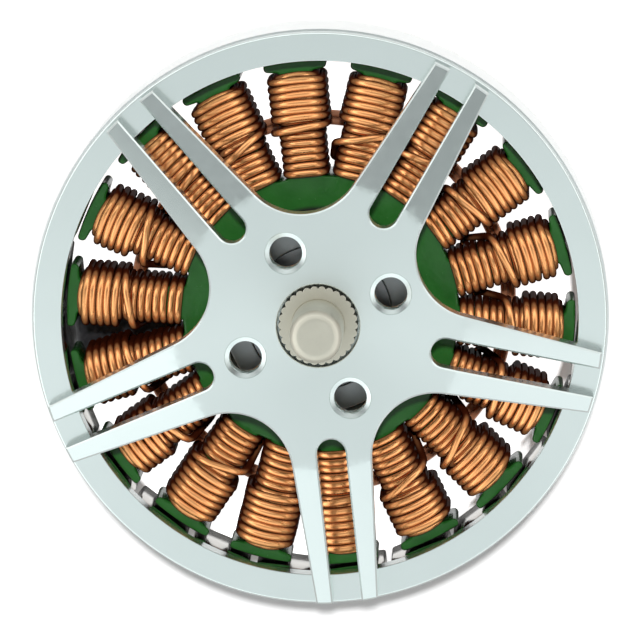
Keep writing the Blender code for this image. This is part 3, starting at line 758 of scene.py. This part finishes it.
for number, (offset, height) in enumerate(JUMPER_PLACES):
    curve = bpy.data.curves.new("joining wire", 'CURVE')
    curve.dimensions = '3D'
    curve.bevel_depth = JUMPER_RADIUS
    curve.bevel_resolution = 3
    curve.use_fill_caps = True
    route = curve.splines.new('POLY')
    route.points.add(JUMPER_STEPS)
    radius = JUMPER_CIRCLE + offset
    for index, point in enumerate(route.points):
        angle = JUMPER_START + JUMPER_SWEEP * index / JUMPER_STEPS
        sway = JUMPER_SWAY * math.sin(TOOTH_COUNT / 2 * angle)
        point.co = (*polar(radius + sway, angle), height, 1.0)
    bent = linked("bent wire", curve)
    bpy.context.view_layer.update()
    shape = bmesh.new()
    shape.from_mesh(bent.to_mesh())
    bmesh.ops.remove_doubles(shape, verts=shape.verts, dist=0.001 * MM)
    wire = closed_piece(f"joining_wire_{number + 1}", shape, math.radians(50))
    bpy.data.objects.remove(bent)
    fit(wire, varnished_wire, "stator", "jumper_wires", f"jumper_wire_{number + 1}")


# Winding sleeve
# A flat length of braided glass-fibre sleeving, dyed black, pushed over the three ends of the
# winding and tucked under the coils.

SLEEVE_START = 11.3 * MM
SLEEVE_LENGTH = 8.12 * MM
SLEEVE_WIDTH = 6.0 * MM
SLEEVE_CORNER = 0.9 * MM
SLEEVE_EDGE = 0.55 * MM
# Strands of the braid, in radians to the metre
BRAID = 9000.0


def braid(plan):
    """Height of the braid, from 0 to 1."""
    x, y, _ = plan.place()
    return (x * BRAID).sine() * (y * BRAID).sine() * 0.5 + 0.5


black_sleeving = finish(
    "black sleeving",
    Base_Color=tinted(2500.0, (0.008, 0.008, 0.009), (0.028, 0.028, 0.031)),
    Roughness=0.55,
    Normal=lambda plan: plan.bump(braid(plan), 0.03 * MM))

low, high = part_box("lead_sleeve")
middle = (SLEEVE_START + STATOR_RADIUS) / 2
start, end, half = middle - SLEEVE_LENGTH / 2, middle + SLEEVE_LENGTH / 2, SLEEVE_WIDTH / 2
outline = rounded([(start, -half), (end, -half), (end, half), (start, half)], SLEEVE_CORNER, 6)
sleeve = coated_plate("winding_sleeve", [spaced(swung(outline, SLEEVE_ANGLE), 0.5 * MM)],
                      low.z, high.z, SLEEVE_EDGE, 5)
fit(sleeve, black_sleeving, "stator", "lead_sleeve", "lead_sleeve")


# Ball bearings
# Two small shielded bearings, pressed in the ends of the tube: hardened rings, pressed steel
# shields crimped in the outer ring, and seven balls in a ribbon cage that shows nowhere.

FRONT_BEARING = 11.79 * MM
REAR_BEARING = 3.30 * MM
BEARING_WIDTH = 4.0 * MM
BALL_COUNT = 7
BALL_CIRCLE = (SHAFT_RADIUS + BEARING_RADIUS) / 2
BALL_RADIUS = 1.0 * MM
BALL_GAP = 0.08 * MM
GROOVE_DEPTH = 0.32 * MM
GROOVE_WIDTH = 1.6 * MM
GROOVE_FLAT = 0.5 * MM
SHIELD_GAP = 0.3 * MM
SHIELD_THICKNESS = 0.25 * MM
CAGE_WIDTH = 0.8 * MM
CAGE_THICKNESS = 0.5 * MM

# Its base colour is darker than bearing steel: painted shade, for the races seen deep down the hub's
# holes
bearing_steel_in_painted_shade = finish(
    "bearing steel",
    Base_Color=tinted(1500.0, (0.22, 0.22, 0.23), (0.30, 0.30, 0.31)),
    Metallic=1.0,
    Roughness=grained(3000.0, 0.12, 0.18),
    Normal=lathed(0.12 * MM, 0.0005 * MM))
cage_steel = finish(
    "pressed cage steel",
    Base_Color=tinted(1500.0, (0.42, 0.39, 0.34), (0.55, 0.52, 0.47)),
    Metallic=1.0,
    Roughness=grained(3000.0, 0.2, 0.3))

inner_groove = BALL_CIRCLE - BALL_RADIUS - BALL_GAP
outer_groove = BALL_CIRCLE + BALL_RADIUS + BALL_GAP
inner_shoulder = inner_groove + GROOVE_DEPTH
outer_shoulder = outer_groove - GROOVE_DEPTH
shield_bore = inner_shoulder + SHIELD_GAP
face, lip, floor = BEARING_WIDTH / 2, GROOVE_WIDTH / 2, GROOVE_FLAT / 2
behind = face - SHIELD_THICKNESS
inner = eased([
    (inner_shoulder, face), (inner_shoulder, lip), (inner_groove, floor), (inner_groove, -floor),
    (inner_shoulder, -lip), (inner_shoulder, -face), (shaft_bore, -face), (shaft_bore, face)])
outer = eased([
    (BEARING_RADIUS, face), (BEARING_RADIUS, -face), (shield_bore, -face), (shield_bore, -behind),
    (outer_shoulder, -behind), (outer_shoulder, -lip), (outer_groove, -floor),
    (outer_groove, floor), (outer_shoulder, lip), (outer_shoulder, behind), (shield_bore, behind),
    (shield_bore, face)], 0.06 * MM)
ribbon = eased([
    (CAGE_WIDTH / 2, CAGE_THICKNESS / 2), (CAGE_WIDTH / 2, -CAGE_THICKNESS / 2),
    (-CAGE_WIDTH / 2, -CAGE_THICKNESS / 2), (-CAGE_WIDTH / 2, CAGE_THICKNESS / 2)])
for side, middle in (("front", FRONT_BEARING), ("rear", REAR_BEARING)):
    ring = turned(f"{side}_inner_ring", [(r, middle + z) for r, z in inner], 64)
    fit(ring, bearing_steel_in_painted_shade, "rotor", "bearing_races", f"{side}_bearing_inner")
    ring = turned(f"{side}_outer_ring", [(r, middle + z) for r, z in outer], 96)
    fit(ring, bearing_steel_in_painted_shade, "stator", "bearing_races", f"{side}_bearing_outer")
    shape = bmesh.new()
    turn(shape, [(BALL_CIRCLE + r, middle + z) for r, z in ribbon], 70)
    for ball in range(BALL_COUNT):
        spot = Vector((*polar(BALL_CIRCLE, math.tau * ball / BALL_COUNT), middle))
        bmesh.ops.create_uvsphere(shape, u_segments=24, v_segments=14, radius=BALL_RADIUS,
                                  matrix=Matrix.Translation(spot))
    fit(closed_piece(f"{side}_balls_and_cage", shape), cage_steel, f"{side}_cage", "ball_cages",
        f"{side}_ball_cage")


# Shaft
# Ground steel, with a rounded end, a groove for the clip, and the knurled collar that bites
# into the hub. A shim and a blackened clip behind the rear bearing hold it in.

SHAFT_TOP = 26.66 * MM
SHAFT_BOTTOM = 0.29 * MM
# The round of the shaft's end, as steps inwards and down from its corner
SHAFT_END = ((0.62 * MM, 0.0), (0.30 * MM, 0.12 * MM), (0.10 * MM, 0.32 * MM), (0.0, 0.62 * MM))
TAIL_CHAMFER = 0.1 * MM
CLIP_TOP = 0.99 * MM
CLIP_BOTTOM = 0.54 * MM
CLIP_PLAY = 0.02 * MM
CLIP_GROOVE = 0.3 * MM
CLIP_RADIUS = 3.2 * MM
CLIP_BORE = 1.73 * MM
CLIP_HALF_OPENING = math.radians(35)
CLIP_CORNER = 0.3 * MM
CLIP_EDGE = 0.05 * MM
SHIM_RADIUS = 2.8 * MM
SHIM_TOP = 1.28 * MM
SHIM_BOTTOM = 1.03 * MM
HUB_TOP = 19.26 * MM
COLLAR_RADIUS = 3.0 * MM
COLLAR_HEIGHT = 2.2 * MM
COLLAR_EDGE = 0.04 * MM
KNURL_TEETH = 30
KNURL_DEPTH = 0.19 * MM
KNURL_STEPS = 8


def ground_marks(plan):
    """Fine scratches round the shaft and across its end."""
    x, y, z = plan.place()
    lines = (from_axis(x, y) * 22000.0 + z * 26000.0).sine()
    return plan.speckle(1200.0) * 0.4 + lines * 0.3 + 0.3


ground_steel = finish(
    "ground steel",
    Base_Color=tinted(800.0, (0.51, 0.488, 0.415), (0.60, 0.575, 0.485)),
    Metallic=1.0,
    Roughness=grained(3000.0, 0.14, 0.42),
    Normal=lambda plan: plan.bump(ground_marks(plan), 0.0008 * MM))

shaft = turned("ground_shaft", eased([
    (0.0, SHAFT_TOP),
    *[(SHAFT_RADIUS - inwards, SHAFT_TOP - down) for inwards, down in SHAFT_END],
    (SHAFT_RADIUS, CLIP_TOP + CLIP_PLAY),
    (SHAFT_RADIUS - CLIP_GROOVE, CLIP_TOP + CLIP_PLAY),
    (SHAFT_RADIUS - CLIP_GROOVE, CLIP_BOTTOM - CLIP_PLAY),
    (SHAFT_RADIUS, CLIP_BOTTOM - CLIP_PLAY),
    (SHAFT_RADIUS, SHAFT_BOTTOM + TAIL_CHAMFER),
    (SHAFT_RADIUS - TAIL_CHAMFER, SHAFT_BOTTOM),
    (0.0, SHAFT_BOTTOM),
], 0.12 * MM), 96)
fit(shaft, ground_steel, "rotor", "shaft", "shaft")

knurl = []
for tooth in range(KNURL_TEETH):
    for step in range(KNURL_STEPS):
        part = step / KNURL_STEPS
        depth = KNURL_DEPTH * (1 - abs(math.cos(math.pi * part)) ** 0.7)
        knurl.append(polar(COLLAR_RADIUS - depth, math.tau * (tooth + part) / KNURL_TEETH))
collar = coated_plate("knurled_collar", [knurl, ring_of(SHAFT_RADIUS)],
                      HUB_TOP - COLLAR_HEIGHT, HUB_TOP, COLLAR_EDGE, 2)
fit(collar, ground_steel, "rotor", "shaft", "shaft")

shim = turned("thin_shim", eased([
    (SHIM_RADIUS, SHIM_TOP), (SHIM_RADIUS, SHIM_BOTTOM),
    (shaft_bore, SHIM_BOTTOM), (shaft_bore, SHIM_TOP)], 0.04 * MM), 64)
fit(shim, bearing_steel_in_painted_shade, "rotor", "shim_washer", "shim_washer")

blackened_steel = finish(
    "blackened spring steel",
    Base_Color=tinted(2000.0, (0.06, 0.06, 0.065), (0.14, 0.135, 0.13)),
    Metallic=1.0,
    Roughness=grained(3500.0, 0.2, 0.32))
start, end = CLIP_HALF_OPENING, math.tau - CLIP_HALF_OPENING
clip_edge = arc((0.0, 0.0), CLIP_RADIUS, start, end, 60) + arc((0.0, 0.0), CLIP_BORE, end, start, 40)
clip = coated_plate("spring_clip", [rounded(clip_edge, CLIP_CORNER)],
                    CLIP_BOTTOM, CLIP_TOP, CLIP_EDGE, 2)
fit(clip, blackened_steel, "rotor", "retaining_clip", "retaining_clip")


# Flux ring and magnets
# A plated steel ring that carries the magnets' field and is glued to the bell's spigot, with
# twenty-four nickel plated block magnets bonded inside it.

ROTOR_RADIUS = 22.0 * MM
FLUX_BORE = 21.15 * MM
FLUX_BOTTOM = 5.0 * MM
FLUX_CHAMFER = 0.25 * MM
JOINT_HEIGHT = 13.66 * MM
GLUE_LINE = 0.02 * MM
MAGNET_COUNT = 24
MAGNET_THICKNESS = 1.3 * MM
MAGNET_FACE = 19.67 * MM
MAGNET_BOTTOM = 5.3 * MM
MAGNET_TOP = 12.94 * MM
MAGNET_HALF_GAP = 0.25 * MM
MAGNET_CORNER = 0.2 * MM
MAGNET_EDGE = 0.15 * MM

plated_steel = finish(
    "plated steel",
    Base_Color=tinted(500.0, (0.78, 0.80, 0.795), (0.85, 0.87, 0.86)),
    Metallic=1.0,
    Roughness=grained(2200.0, 0.12, 0.26),
    Normal=lathed(0.15 * MM, 0.0006 * MM))
flux_ring = turned("steel_flux_ring", eased([
    (ROTOR_RADIUS, JOINT_HEIGHT - GLUE_LINE),
    (ROTOR_RADIUS, FLUX_BOTTOM + FLUX_CHAMFER),
    (ROTOR_RADIUS - FLUX_CHAMFER, FLUX_BOTTOM),
    (FLUX_BORE, FLUX_BOTTOM),
    (FLUX_BORE, JOINT_HEIGHT - GLUE_LINE),
], 0.06 * MM), 256)
fit(flux_ring, plated_steel, "rotor", "flux_ring", "flux_ring")

nickel = finish(
    "nickel plate",
    Base_Color=tinted(900.0, (0.60, 0.58, 0.54), (0.72, 0.70, 0.66)),
    Metallic=1.0,
    Roughness=grained(2500.0, 0.10, 0.12),
    Normal=uneven(1500.0, 2.0, 0.006 * MM))


def magnet_tree():
    """One block, set round the shaft's axis at even steps."""
    plan = new_tree("ring of magnets", {"Count": int, "Material": bpy.types.Material})
    given = plan.given
    points = plan.node("GeometryNodePoints", inputs={"Count": given["Count"]})
    angle = (plan.node("GeometryNodeInputIndex") + 0.5) / given["Count"] * math.tau
    facing = plan.node("ShaderNodeCombineXYZ", inputs={2: angle})
    blocks = plan.node("GeometryNodeInstanceOnPoints", inputs={
        "Points": points, "Instance": given["Geometry"], "Rotation": facing})
    return ended(plan, blocks)


half = MAGNET_FACE * math.tan(math.pi / MAGNET_COUNT) - MAGNET_HALF_GAP
back = MAGNET_FACE + MAGNET_THICKNESS
outline = rounded([(MAGNET_FACE, -half), (back, -half), (back, half), (MAGNET_FACE, half)],
                  MAGNET_CORNER, 3)
block = coated_plate("block magnet", [outline], MAGNET_BOTTOM, MAGNET_TOP, MAGNET_EDGE, 2)
magnets = grown(magnet_tree(), "block_magnets",
                {"Count": MAGNET_COUNT, "Material": nickel}, block.data)
bpy.data.objects.remove(block)
fit(magnets, nickel, "rotor", "magnets", *[f"magnet_{i + 1:02d}" for i in range(MAGNET_COUNT)])


# Bell
# One piece of aluminium, turned and then milled: a flat hub, five pairs of spokes that fall away
# from it, each split by a slot, and the rim ring they stand on. Every edge is chamfered.

SPOKE_PAIRS = 5
SPOKE_PHASE = math.radians(131.8)
SPOKE_WIDTH_HUB = 1.9 * MM
SPOKE_WIDTH_RIM = 1.35 * MM
SLOT_WIDTH = 2.2 * MM
SLOT_START = 8.7 * MM
WINDOW_START = 8.5 * MM
HUB_FOLD = 11.0 * MM
FOLD_ROUND = 0.03 * MM
FOLD_SUPPORT = 0.09 * MM
FOLD_RINGS = [HUB_FOLD - FOLD_SUPPORT, HUB_FOLD - FOLD_ROUND,
              HUB_FOLD + FOLD_ROUND, HUB_FOLD + FOLD_SUPPORT]
RIM_RADIUS = 21.85 * MM
SPOKE_END = 21.55 * MM
SPOKE_END_TOP = 17.36 * MM
RIM_FACE = 15.06 * MM
SPOKE_FOOT = 14.96 * MM
SPIGOT_BOTTOM = 12.96 * MM
HUB_UNDERSIDE = 16.86 * MM
SPIGOT_RADIUS = FLUX_BORE - 0.05 * MM
SOCKET_RADIUS = COLLAR_RADIUS + 0.15 * MM
SOCKET_DEPTH = COLLAR_HEIGHT + 0.02 * MM
BOSS_RADIUS = 4.4 * MM
NOSE_RADIUS = SHAFT_RADIUS + 0.6 * MM
NOSE_BOTTOM = 13.81 * MM
NOSE_LENGTH = 0.3 * MM
EDGE_CHAMFER = 0.12 * MM
BACK_CHAMFER = 0.1 * MM
SOCKET_CHAMFER = 0.05 * MM
FILLET_MIDDLE = 0.03 * MM
# Width of the narrow band of faces beside an edge that keeps the face behind it flat
BAND = 0.04 * MM
# The hub's faces are filled through points on rings, between these radii in millimetres
FILL_START = 3.5
FILL_END = 21.5
FILL_GAP = 0.7 * MM
FOLD_CLEARANCE = 0.2 * MM
EDGE_CLEARANCE = 0.28 * MM
EDGE_STEP = 0.25 * MM
PROP_SCREWS = 4
PROP_FACETS = 32
PROP_CIRCLE = 6.0 * MM
PROP_HOLE_RADIUS = 1.25 * MM
PROP_SINK_RADIUS = 1.6 * MM
PROP_SINK_STEP = 0.06 * MM
PROP_SINK_DEPTH = 0.15 * MM
PROP_PHASE = math.radians(24.0)
THREAD_PITCH = 0.5 * MM
THREAD_DEPTH = 0.28 * MM
THREAD_RELIEF = 0.12 * MM
THREAD_STEPS = 40
# The thread grows to its depth, and fades again, within this many steps
THREAD_FADE = 4


def past(radius, place, soft):
    """How far a radius lies past a place, with a soft start."""
    distance = radius - place
    if distance < -soft:
        return 0.0
    return distance if distance > soft else (distance + soft) ** 2 / (4 * soft)


def bell_top(x, y):
    slope = (HUB_TOP - SPOKE_END_TOP) / (SPOKE_END - HUB_FOLD)
    return HUB_TOP - slope * past(math.hypot(x, y), HUB_FOLD, FOLD_ROUND)


def bell_underside(x, y):
    slope = (HUB_UNDERSIDE - SPOKE_FOOT) / (MAGNET_FACE - HUB_FOLD)
    return max(SPOKE_FOOT, HUB_UNDERSIDE - slope * past(math.hypot(x, y), HUB_FOLD, FOLD_ROUND))


def crossed(points, radius):
    """A closed outline with a point wherever it crosses a circle about the axis."""
    result = []
    for here, there in zip(points, points[1:] + points[:1]):
        result.append(here)
        near, far = math.hypot(*here), math.hypot(*there)
        if (near - radius) * (far - radius) < 0:
            part = (radius - near) / (far - near)
            result.append((here[0] + (there[0] - here[0]) * part,
                           here[1] + (there[1] - here[1]) * part))
    return result


def spider_edge():
    """Outline of the hub and its spokes, anticlockwise."""
    half_pitch = math.pi / SPOKE_PAIRS
    hub_half = SLOT_WIDTH / 2 + SPOKE_WIDTH_HUB
    rim_half = SLOT_WIDTH / 2 + SPOKE_WIDTH_RIM
    taper = (hub_half - rim_half) / (MAGNET_FACE - HUB_FOLD)
    root_half = hub_half + taper * HUB_FOLD
    reach = math.sin(half_pitch) + taper * math.cos(half_pitch)
    lean = math.hypot(1.0, taper)
    centre = (lean * WINDOW_START - root_half) / (lean - reach)
    touch = math.pi / 2 + half_pitch + math.atan(taper)
    window = arc((centre, 0.0), centre - WINDOW_START, math.tau - touch, touch, 28)
    # Where the spoke's tapered side meets the round of its end
    end = SPOKE_END
    for _ in range(8):
        end = math.sqrt(SPOKE_END ** 2 - (root_half - taper * end) ** 2)
    outer = math.asin((root_half - taper * end) / SPOKE_END)
    inner = math.asin(SLOT_WIDTH / 2 / SPOKE_END)
    slot = arc((SLOT_START + SLOT_WIDTH / 2, 0.0), SLOT_WIDTH / 2, 1.5 * math.pi, math.pi / 2, 16)
    pair = arc((0.0, 0.0), SPOKE_END, -outer, -inner, 3) + slot
    pair += arc((0.0, 0.0), SPOKE_END, inner, outer, 3)
    whole = []
    for index in range(SPOKE_PAIRS):
        direction = SPOKE_PHASE + math.tau * index / SPOKE_PAIRS
        whole += swung(window, direction - half_pitch) + swung(pair, direction)
    whole = spaced(whole, 0.5 * MM)
    for radius in FOLD_RINGS:
        whole = crossed(whole, radius)
    return whole


def loose_points(outlines):
    """Points on rings about the axis, within the outlines and clear of them."""
    rings = np.arange(FILL_START, FILL_END, FILL_GAP / MM) * MM
    rings = [radius for radius in rings if abs(radius - HUB_FOLD) > FOLD_CLEARANCE] + FOLD_RINGS
    spots = []
    for number, radius in enumerate(rings):
        count = int(math.tau * radius / FILL_GAP)
        spots += [polar(radius, math.tau * (i + 0.5 * (number % 2)) / count) for i in range(count)]
    spots = np.array(spots)
    edge = np.concatenate([np.array(spaced(list(outline), EDGE_STEP)) for outline in outlines])
    clear = np.array([np.min(np.hypot(*(edge - spot).T)) > EDGE_CLEARANCE for spot in spots])
    keep = clear & inside(outlines, spots)
    return [tuple(spot) for spot in spots[keep]]


def skin(shape, rows):
    """Join rims one to the next, and return the first and the last."""
    for upper, lower in zip(rows, rows[1:]):
        wall(shape, upper, lower)
    return rows[0], rows[-1]


shape = bmesh.new()
edge = spider_edge()
rows = []
for depth, surface, drop in ((EDGE_CHAMFER + BAND, bell_top, 0.0),
                             (EDGE_CHAMFER, bell_top, 0.0),
                             (0.0, bell_top, EDGE_CHAMFER),
                             (0.0, bell_underside, -BACK_CHAMFER),
                             (BACK_CHAMFER, bell_underside, 0.0),
                             (BACK_CHAMFER + BAND, bell_underside, 0.0)):
    rows.append(rim(shape, inset(edge, depth), lambda x, y: surface(x, y) - drop))
ends = [skin(shape, rows)]

# The collar's socket, the shaft's bore, and the boss with its nose, which rests on the bearing
boss = [
    (SOCKET_RADIUS + SOCKET_CHAMFER + BAND, HUB_TOP),
    (SOCKET_RADIUS + SOCKET_CHAMFER, HUB_TOP),
    (SOCKET_RADIUS, HUB_TOP - SOCKET_CHAMFER),
    (SOCKET_RADIUS, HUB_TOP - SOCKET_DEPTH),
    (shaft_bore, HUB_TOP - SOCKET_DEPTH),
    (shaft_bore, NOSE_BOTTOM),
    (NOSE_RADIUS, NOSE_BOTTOM),
    (NOSE_RADIUS, NOSE_BOTTOM + NOSE_LENGTH),
    (BOSS_RADIUS - BACK_CHAMFER, NOSE_BOTTOM + NOSE_LENGTH),
    (BOSS_RADIUS, NOSE_BOTTOM + NOSE_LENGTH + BACK_CHAMFER),
    (BOSS_RADIUS, HUB_UNDERSIDE - BACK_CHAMFER),
    (BOSS_RADIUS + FILLET_MIDDLE, HUB_UNDERSIDE - FILLET_MIDDLE),
    (BOSS_RADIUS + BACK_CHAMFER, HUB_UNDERSIDE),
    (BOSS_RADIUS + BACK_CHAMFER + FILLET_MIDDLE, HUB_UNDERSIDE)]
ends.append(skin(shape, [rim(shape, ring_of(radius), level(height)) for radius, height in boss]))

# Tapped holes: a countersink, then the thread as a ridge that winds down the bore
for hole in range(PROP_SCREWS):
    spot = polar(PROP_CIRCLE, PROP_PHASE + math.tau * hole / PROP_SCREWS)
    rows = [rim(shape, ring_of(PROP_SINK_RADIUS + wider, PROP_FACETS, spot), level(HUB_TOP - drop))
            for wider, drop in ((BAND, 0.0), (0.0, 0.0), (-BAND, PROP_SINK_STEP))]
    start, end = HUB_TOP - PROP_SINK_DEPTH, HUB_UNDERSIDE + THREAD_RELIEF
    for step in range(THREAD_STEPS + 1):
        height = start + (end - start) * step / THREAD_STEPS
        fade = min(1.0, max(0, step - 1) / THREAD_FADE, (THREAD_STEPS - step) / THREAD_FADE)
        points = []
        for index in range(PROP_FACETS):
            part = (height / THREAD_PITCH + index / PROP_FACETS) % 1.0
            radius = PROP_HOLE_RADIUS + THREAD_DEPTH * fade * abs(2 * part - 1)
            points.append(polar(radius, -math.tau * index / PROP_FACETS, spot))
        rows.append(rim(shape, points, level(height)))
    rows += [rim(shape, ring_of(PROP_HOLE_RADIUS + wider, PROP_FACETS, spot), level(HUB_UNDERSIDE))
             for wider in (THREAD_RELIEF, THREAD_RELIEF + BAND)]
    ends.append(skin(shape, rows))

for rims, surface in zip(zip(*ends), (bell_top, bell_underside)):
    outlines = [[tuple(vertex.co.xy) for vertex in one] for one in rims]
    cap(shape, rims, surface, loose_points(outlines))

turn(shape, eased([
    (RIM_RADIUS - EDGE_CHAMFER, RIM_FACE),
    (RIM_RADIUS, RIM_FACE - EDGE_CHAMFER),
    (RIM_RADIUS, JOINT_HEIGHT),
    (SPIGOT_RADIUS, JOINT_HEIGHT),
    (SPIGOT_RADIUS, SPIGOT_BOTTOM),
    (MAGNET_FACE, SPIGOT_BOTTOM),
    (MAGNET_FACE, RIM_FACE),
], 0.05 * MM), 256)

milled_aluminium = finish(
    "milled aluminium",
    Base_Color=tinted(350.0, (0.765, 0.825, 0.805), (0.795, 0.855, 0.835), 2.0),
    Metallic=1.0,
    Roughness=grained(1600.0, 0.05, 0.19),
    Anisotropic=0.8,
    Anisotropic_Rotation=0.25,
    Normal=lathed(0.30 * MM, 0.0012 * MM))
bell = closed_piece("milled_bell", shape, math.radians(28))
fit(bell, milled_aluminium, "rotor", "bell", "bell")


# Studio
# A white table under a white tent of light. What the metal mirrors of it goes in bands of tones
# from the bottom of the picture to its top, with a dark band above the middle and bright panels
# at both sides. Straight past the motor the camera sees plain white.

tent = bpy.data.worlds.new("white tent")
tent.use_nodes = True
bpy.context.scene.world = tent
plan = Plan(tent.node_tree)
x, y, z = plan.place("Generated")
tones = [
    (-0.97, (1.0, 1.05, 1.06)), (-0.80, (1.65, 1.7, 1.7)), (-0.60, (1.06, 1.13, 1.14)),
    (-0.50, (0.98, 1.06, 1.08)), (-0.14, (1.02, 1.09, 1.11)), (-0.10, (0.68, 0.73, 0.735)),
    (-0.05, (0.64, 0.685, 0.685)), (0.13, (0.53, 0.57, 0.57)), (0.19, (0.13, 0.135, 0.14)),
    (0.33, (0.12, 0.12, 0.13)), (0.43, (0.9, 0.95, 0.95)), (0.66, (1.6, 1.65, 1.65))]
stops = [(lean / 2 + 0.5, colour) for lean, colour in tones]
bands = plan.node("ShaderNodeValToRGB", {"stops": stops}, {0: y * 0.5 + 0.5})
shade = plan.blend(abs(x).rise(0.44, 0.70), bands, (2.0, 2.03, 2.03))
# Dimmer low down, in a seam round the panel overhead, far out at the sides, and in one fold
seam = z.rise(0.12, 0.20) * (1 - z.rise(0.30, 0.44))
glow = (z.rise(0.02, 0.16, 0.5, 1.0) - seam * 0.5) * x.rise(-0.40, 0.30, 1.08, 0.94)
glow = glow * abs(x).rise(0.86, 0.98, 1.0, 0.5)
fold = y.rise(-0.27, -0.21) * (1 - y.rise(-0.19, -0.13)) * (1 - abs(x).rise(0.02, 0.16))
glow = glow * (1 - fold * 0.28)
# Matt surfaces get less of its light than the metal mirrors
diffuse = plan.node("ShaderNodeLightPath", output="Is Diffuse Ray")
glow = glow * (1 - diffuse * 0.74)
seen = plan.node("ShaderNodeLightPath", output="Is Camera Ray")
light = plan.node("ShaderNodeBackground", inputs={"Color": shade, "Strength": glow})
white = plan.node("ShaderNodeBackground", inputs={"Color": (1.0, 1.0, 1.0, 1.0), "Strength": 1.0})
both = plan.node("ShaderNodeMixShader", inputs={0: seen, 1: light, 2: white})
plan.node("ShaderNodeOutputWorld", inputs={"Surface": both})

lamp = bpy.data.lights.new("window", 'SUN')
lamp.energy = 2.8
lamp.angle = math.radians(2.4)
window = linked("window", lamp)
window.rotation_euler = (math.radians(-11.9), math.radians(1.0), 0.0)
window.visible_glossy = False

shape = bmesh.new()
bmesh.ops.create_grid(shape, x_segments=1, y_segments=1, size=3.0)
floor_mesh = bpy.data.meshes.new("table")
shape.to_mesh(floor_mesh)
shape.free()
table = linked("table", floor_mesh)
paint = bpy.data.materials.new("white table")
paint.use_nodes = True
plan = Plan(paint.node_tree)
x, y, _ = plan.place()
radius = from_axis(x, y)
# The table glows under the motor, less far out at the right
under = 1 - (radius + x.rise(8.0 * MM, 15.0 * MM, 0.0, 1.3 * MM)).rise(20.4 * MM, 20.8 * MM)
rays = plan.node("ShaderNodeLightPath", output="Is Camera Ray")
shiny = plan.node("ShaderNodeLightPath", output="Is Glossy Ray")
# Painted shadow: the table is dark beside the sleeve
painted_shadow = radius.rise(19.1 * MM, 19.3 * MM) * radius.rise(21.0 * MM, 21.5 * MM, 1.0, 0.0)
painted_shadow = painted_shadow * x.rise(-17.0 * MM, -15.5 * MM, 1.0, 0.0)
painted_shadow = painted_shadow * y.rise(2.2 * MM, 3.0 * MM, 1.0, 0.0) * y.rise(-7.5 * MM, -6.0 * MM)
# What the metal mirrors of it is dark at the ring's foot, which is painted shade, and dimmer far away
far = radius.rise(26.0 * MM, 50.0 * MM, 0.0, 0.4)
dull = (0.85 - shiny * (radius.rise(21.0 * MM, 22.0 * MM, 0.85, 0.0) + far)) * (1 - painted_shadow * 0.9)
plain = plan.node("ShaderNodeBsdfDiffuse", inputs={"Color": dull})
# What the metal mirrors of it glows white under the motor, with painted shade near the ring's foot and
# at the left
mirrored = radius.rise(18.7 * MM, 19.0 * MM, 1.0, 0.08)
mirrored = mirrored * x.rise(-17.6 * MM, -15.6 * MM, 0.1, 1.0) * shiny
glow = (under * 0.9 + 0.05) * (1 - painted_shadow) * rays + mirrored
lit = plan.node("ShaderNodeEmission", inputs={"Color": (1.0, 1.0, 1.0, 1.0), "Strength": glow})
both = plan.node("ShaderNodeAddShader", inputs={0: plain, 1: lit})
plan.node("ShaderNodeOutputMaterial", inputs={"Surface": both})
floor_mesh.materials.append(paint)

PHOTO_SIDE = 641
CAMERA_DISTANCE = 0.5
CAMERA_LIFT = math.radians(7.0)
CAMERA_SWAY = math.radians(1.5)
PIXELS_PER_RADIAN = 6580
SENSOR_WIDTH = 36.0
AIM_RIGHT = 0.076 * MM
AIM_DOWN = 0.114 * MM
lens = bpy.data.cameras.new("camera")
lens.sensor_width = SENSOR_WIDTH
lens.lens = SENSOR_WIDTH * PIXELS_PER_RADIAN / PHOTO_SIDE
lens.clip_start = 0.01
lens.clip_end = 20.0
camera = linked("camera", lens)
back = Vector((math.sin(CAMERA_SWAY) * math.cos(CAMERA_LIFT), math.sin(CAMERA_LIFT),
               math.cos(CAMERA_SWAY) * math.cos(CAMERA_LIFT)))
right = Vector((0.0, 1.0, 0.0)).cross(back).normalized()
up = back.cross(right)
aim = Vector((0.0, 0.0, RIM_FACE)) + right * AIM_RIGHT - up * AIM_DOWN
spot = aim + back * CAMERA_DISTANCE
camera.matrix_world = Matrix((
    (right.x, up.x, back.x, spot.x),
    (right.y, up.y, back.y, spot.y),
    (right.z, up.z, back.z, spot.z),
    (0.0, 0.0, 0.0, 1.0)))
bpy.context.scene.camera = camera
bpy.context.scene.view_settings.view_transform = 'Standard'
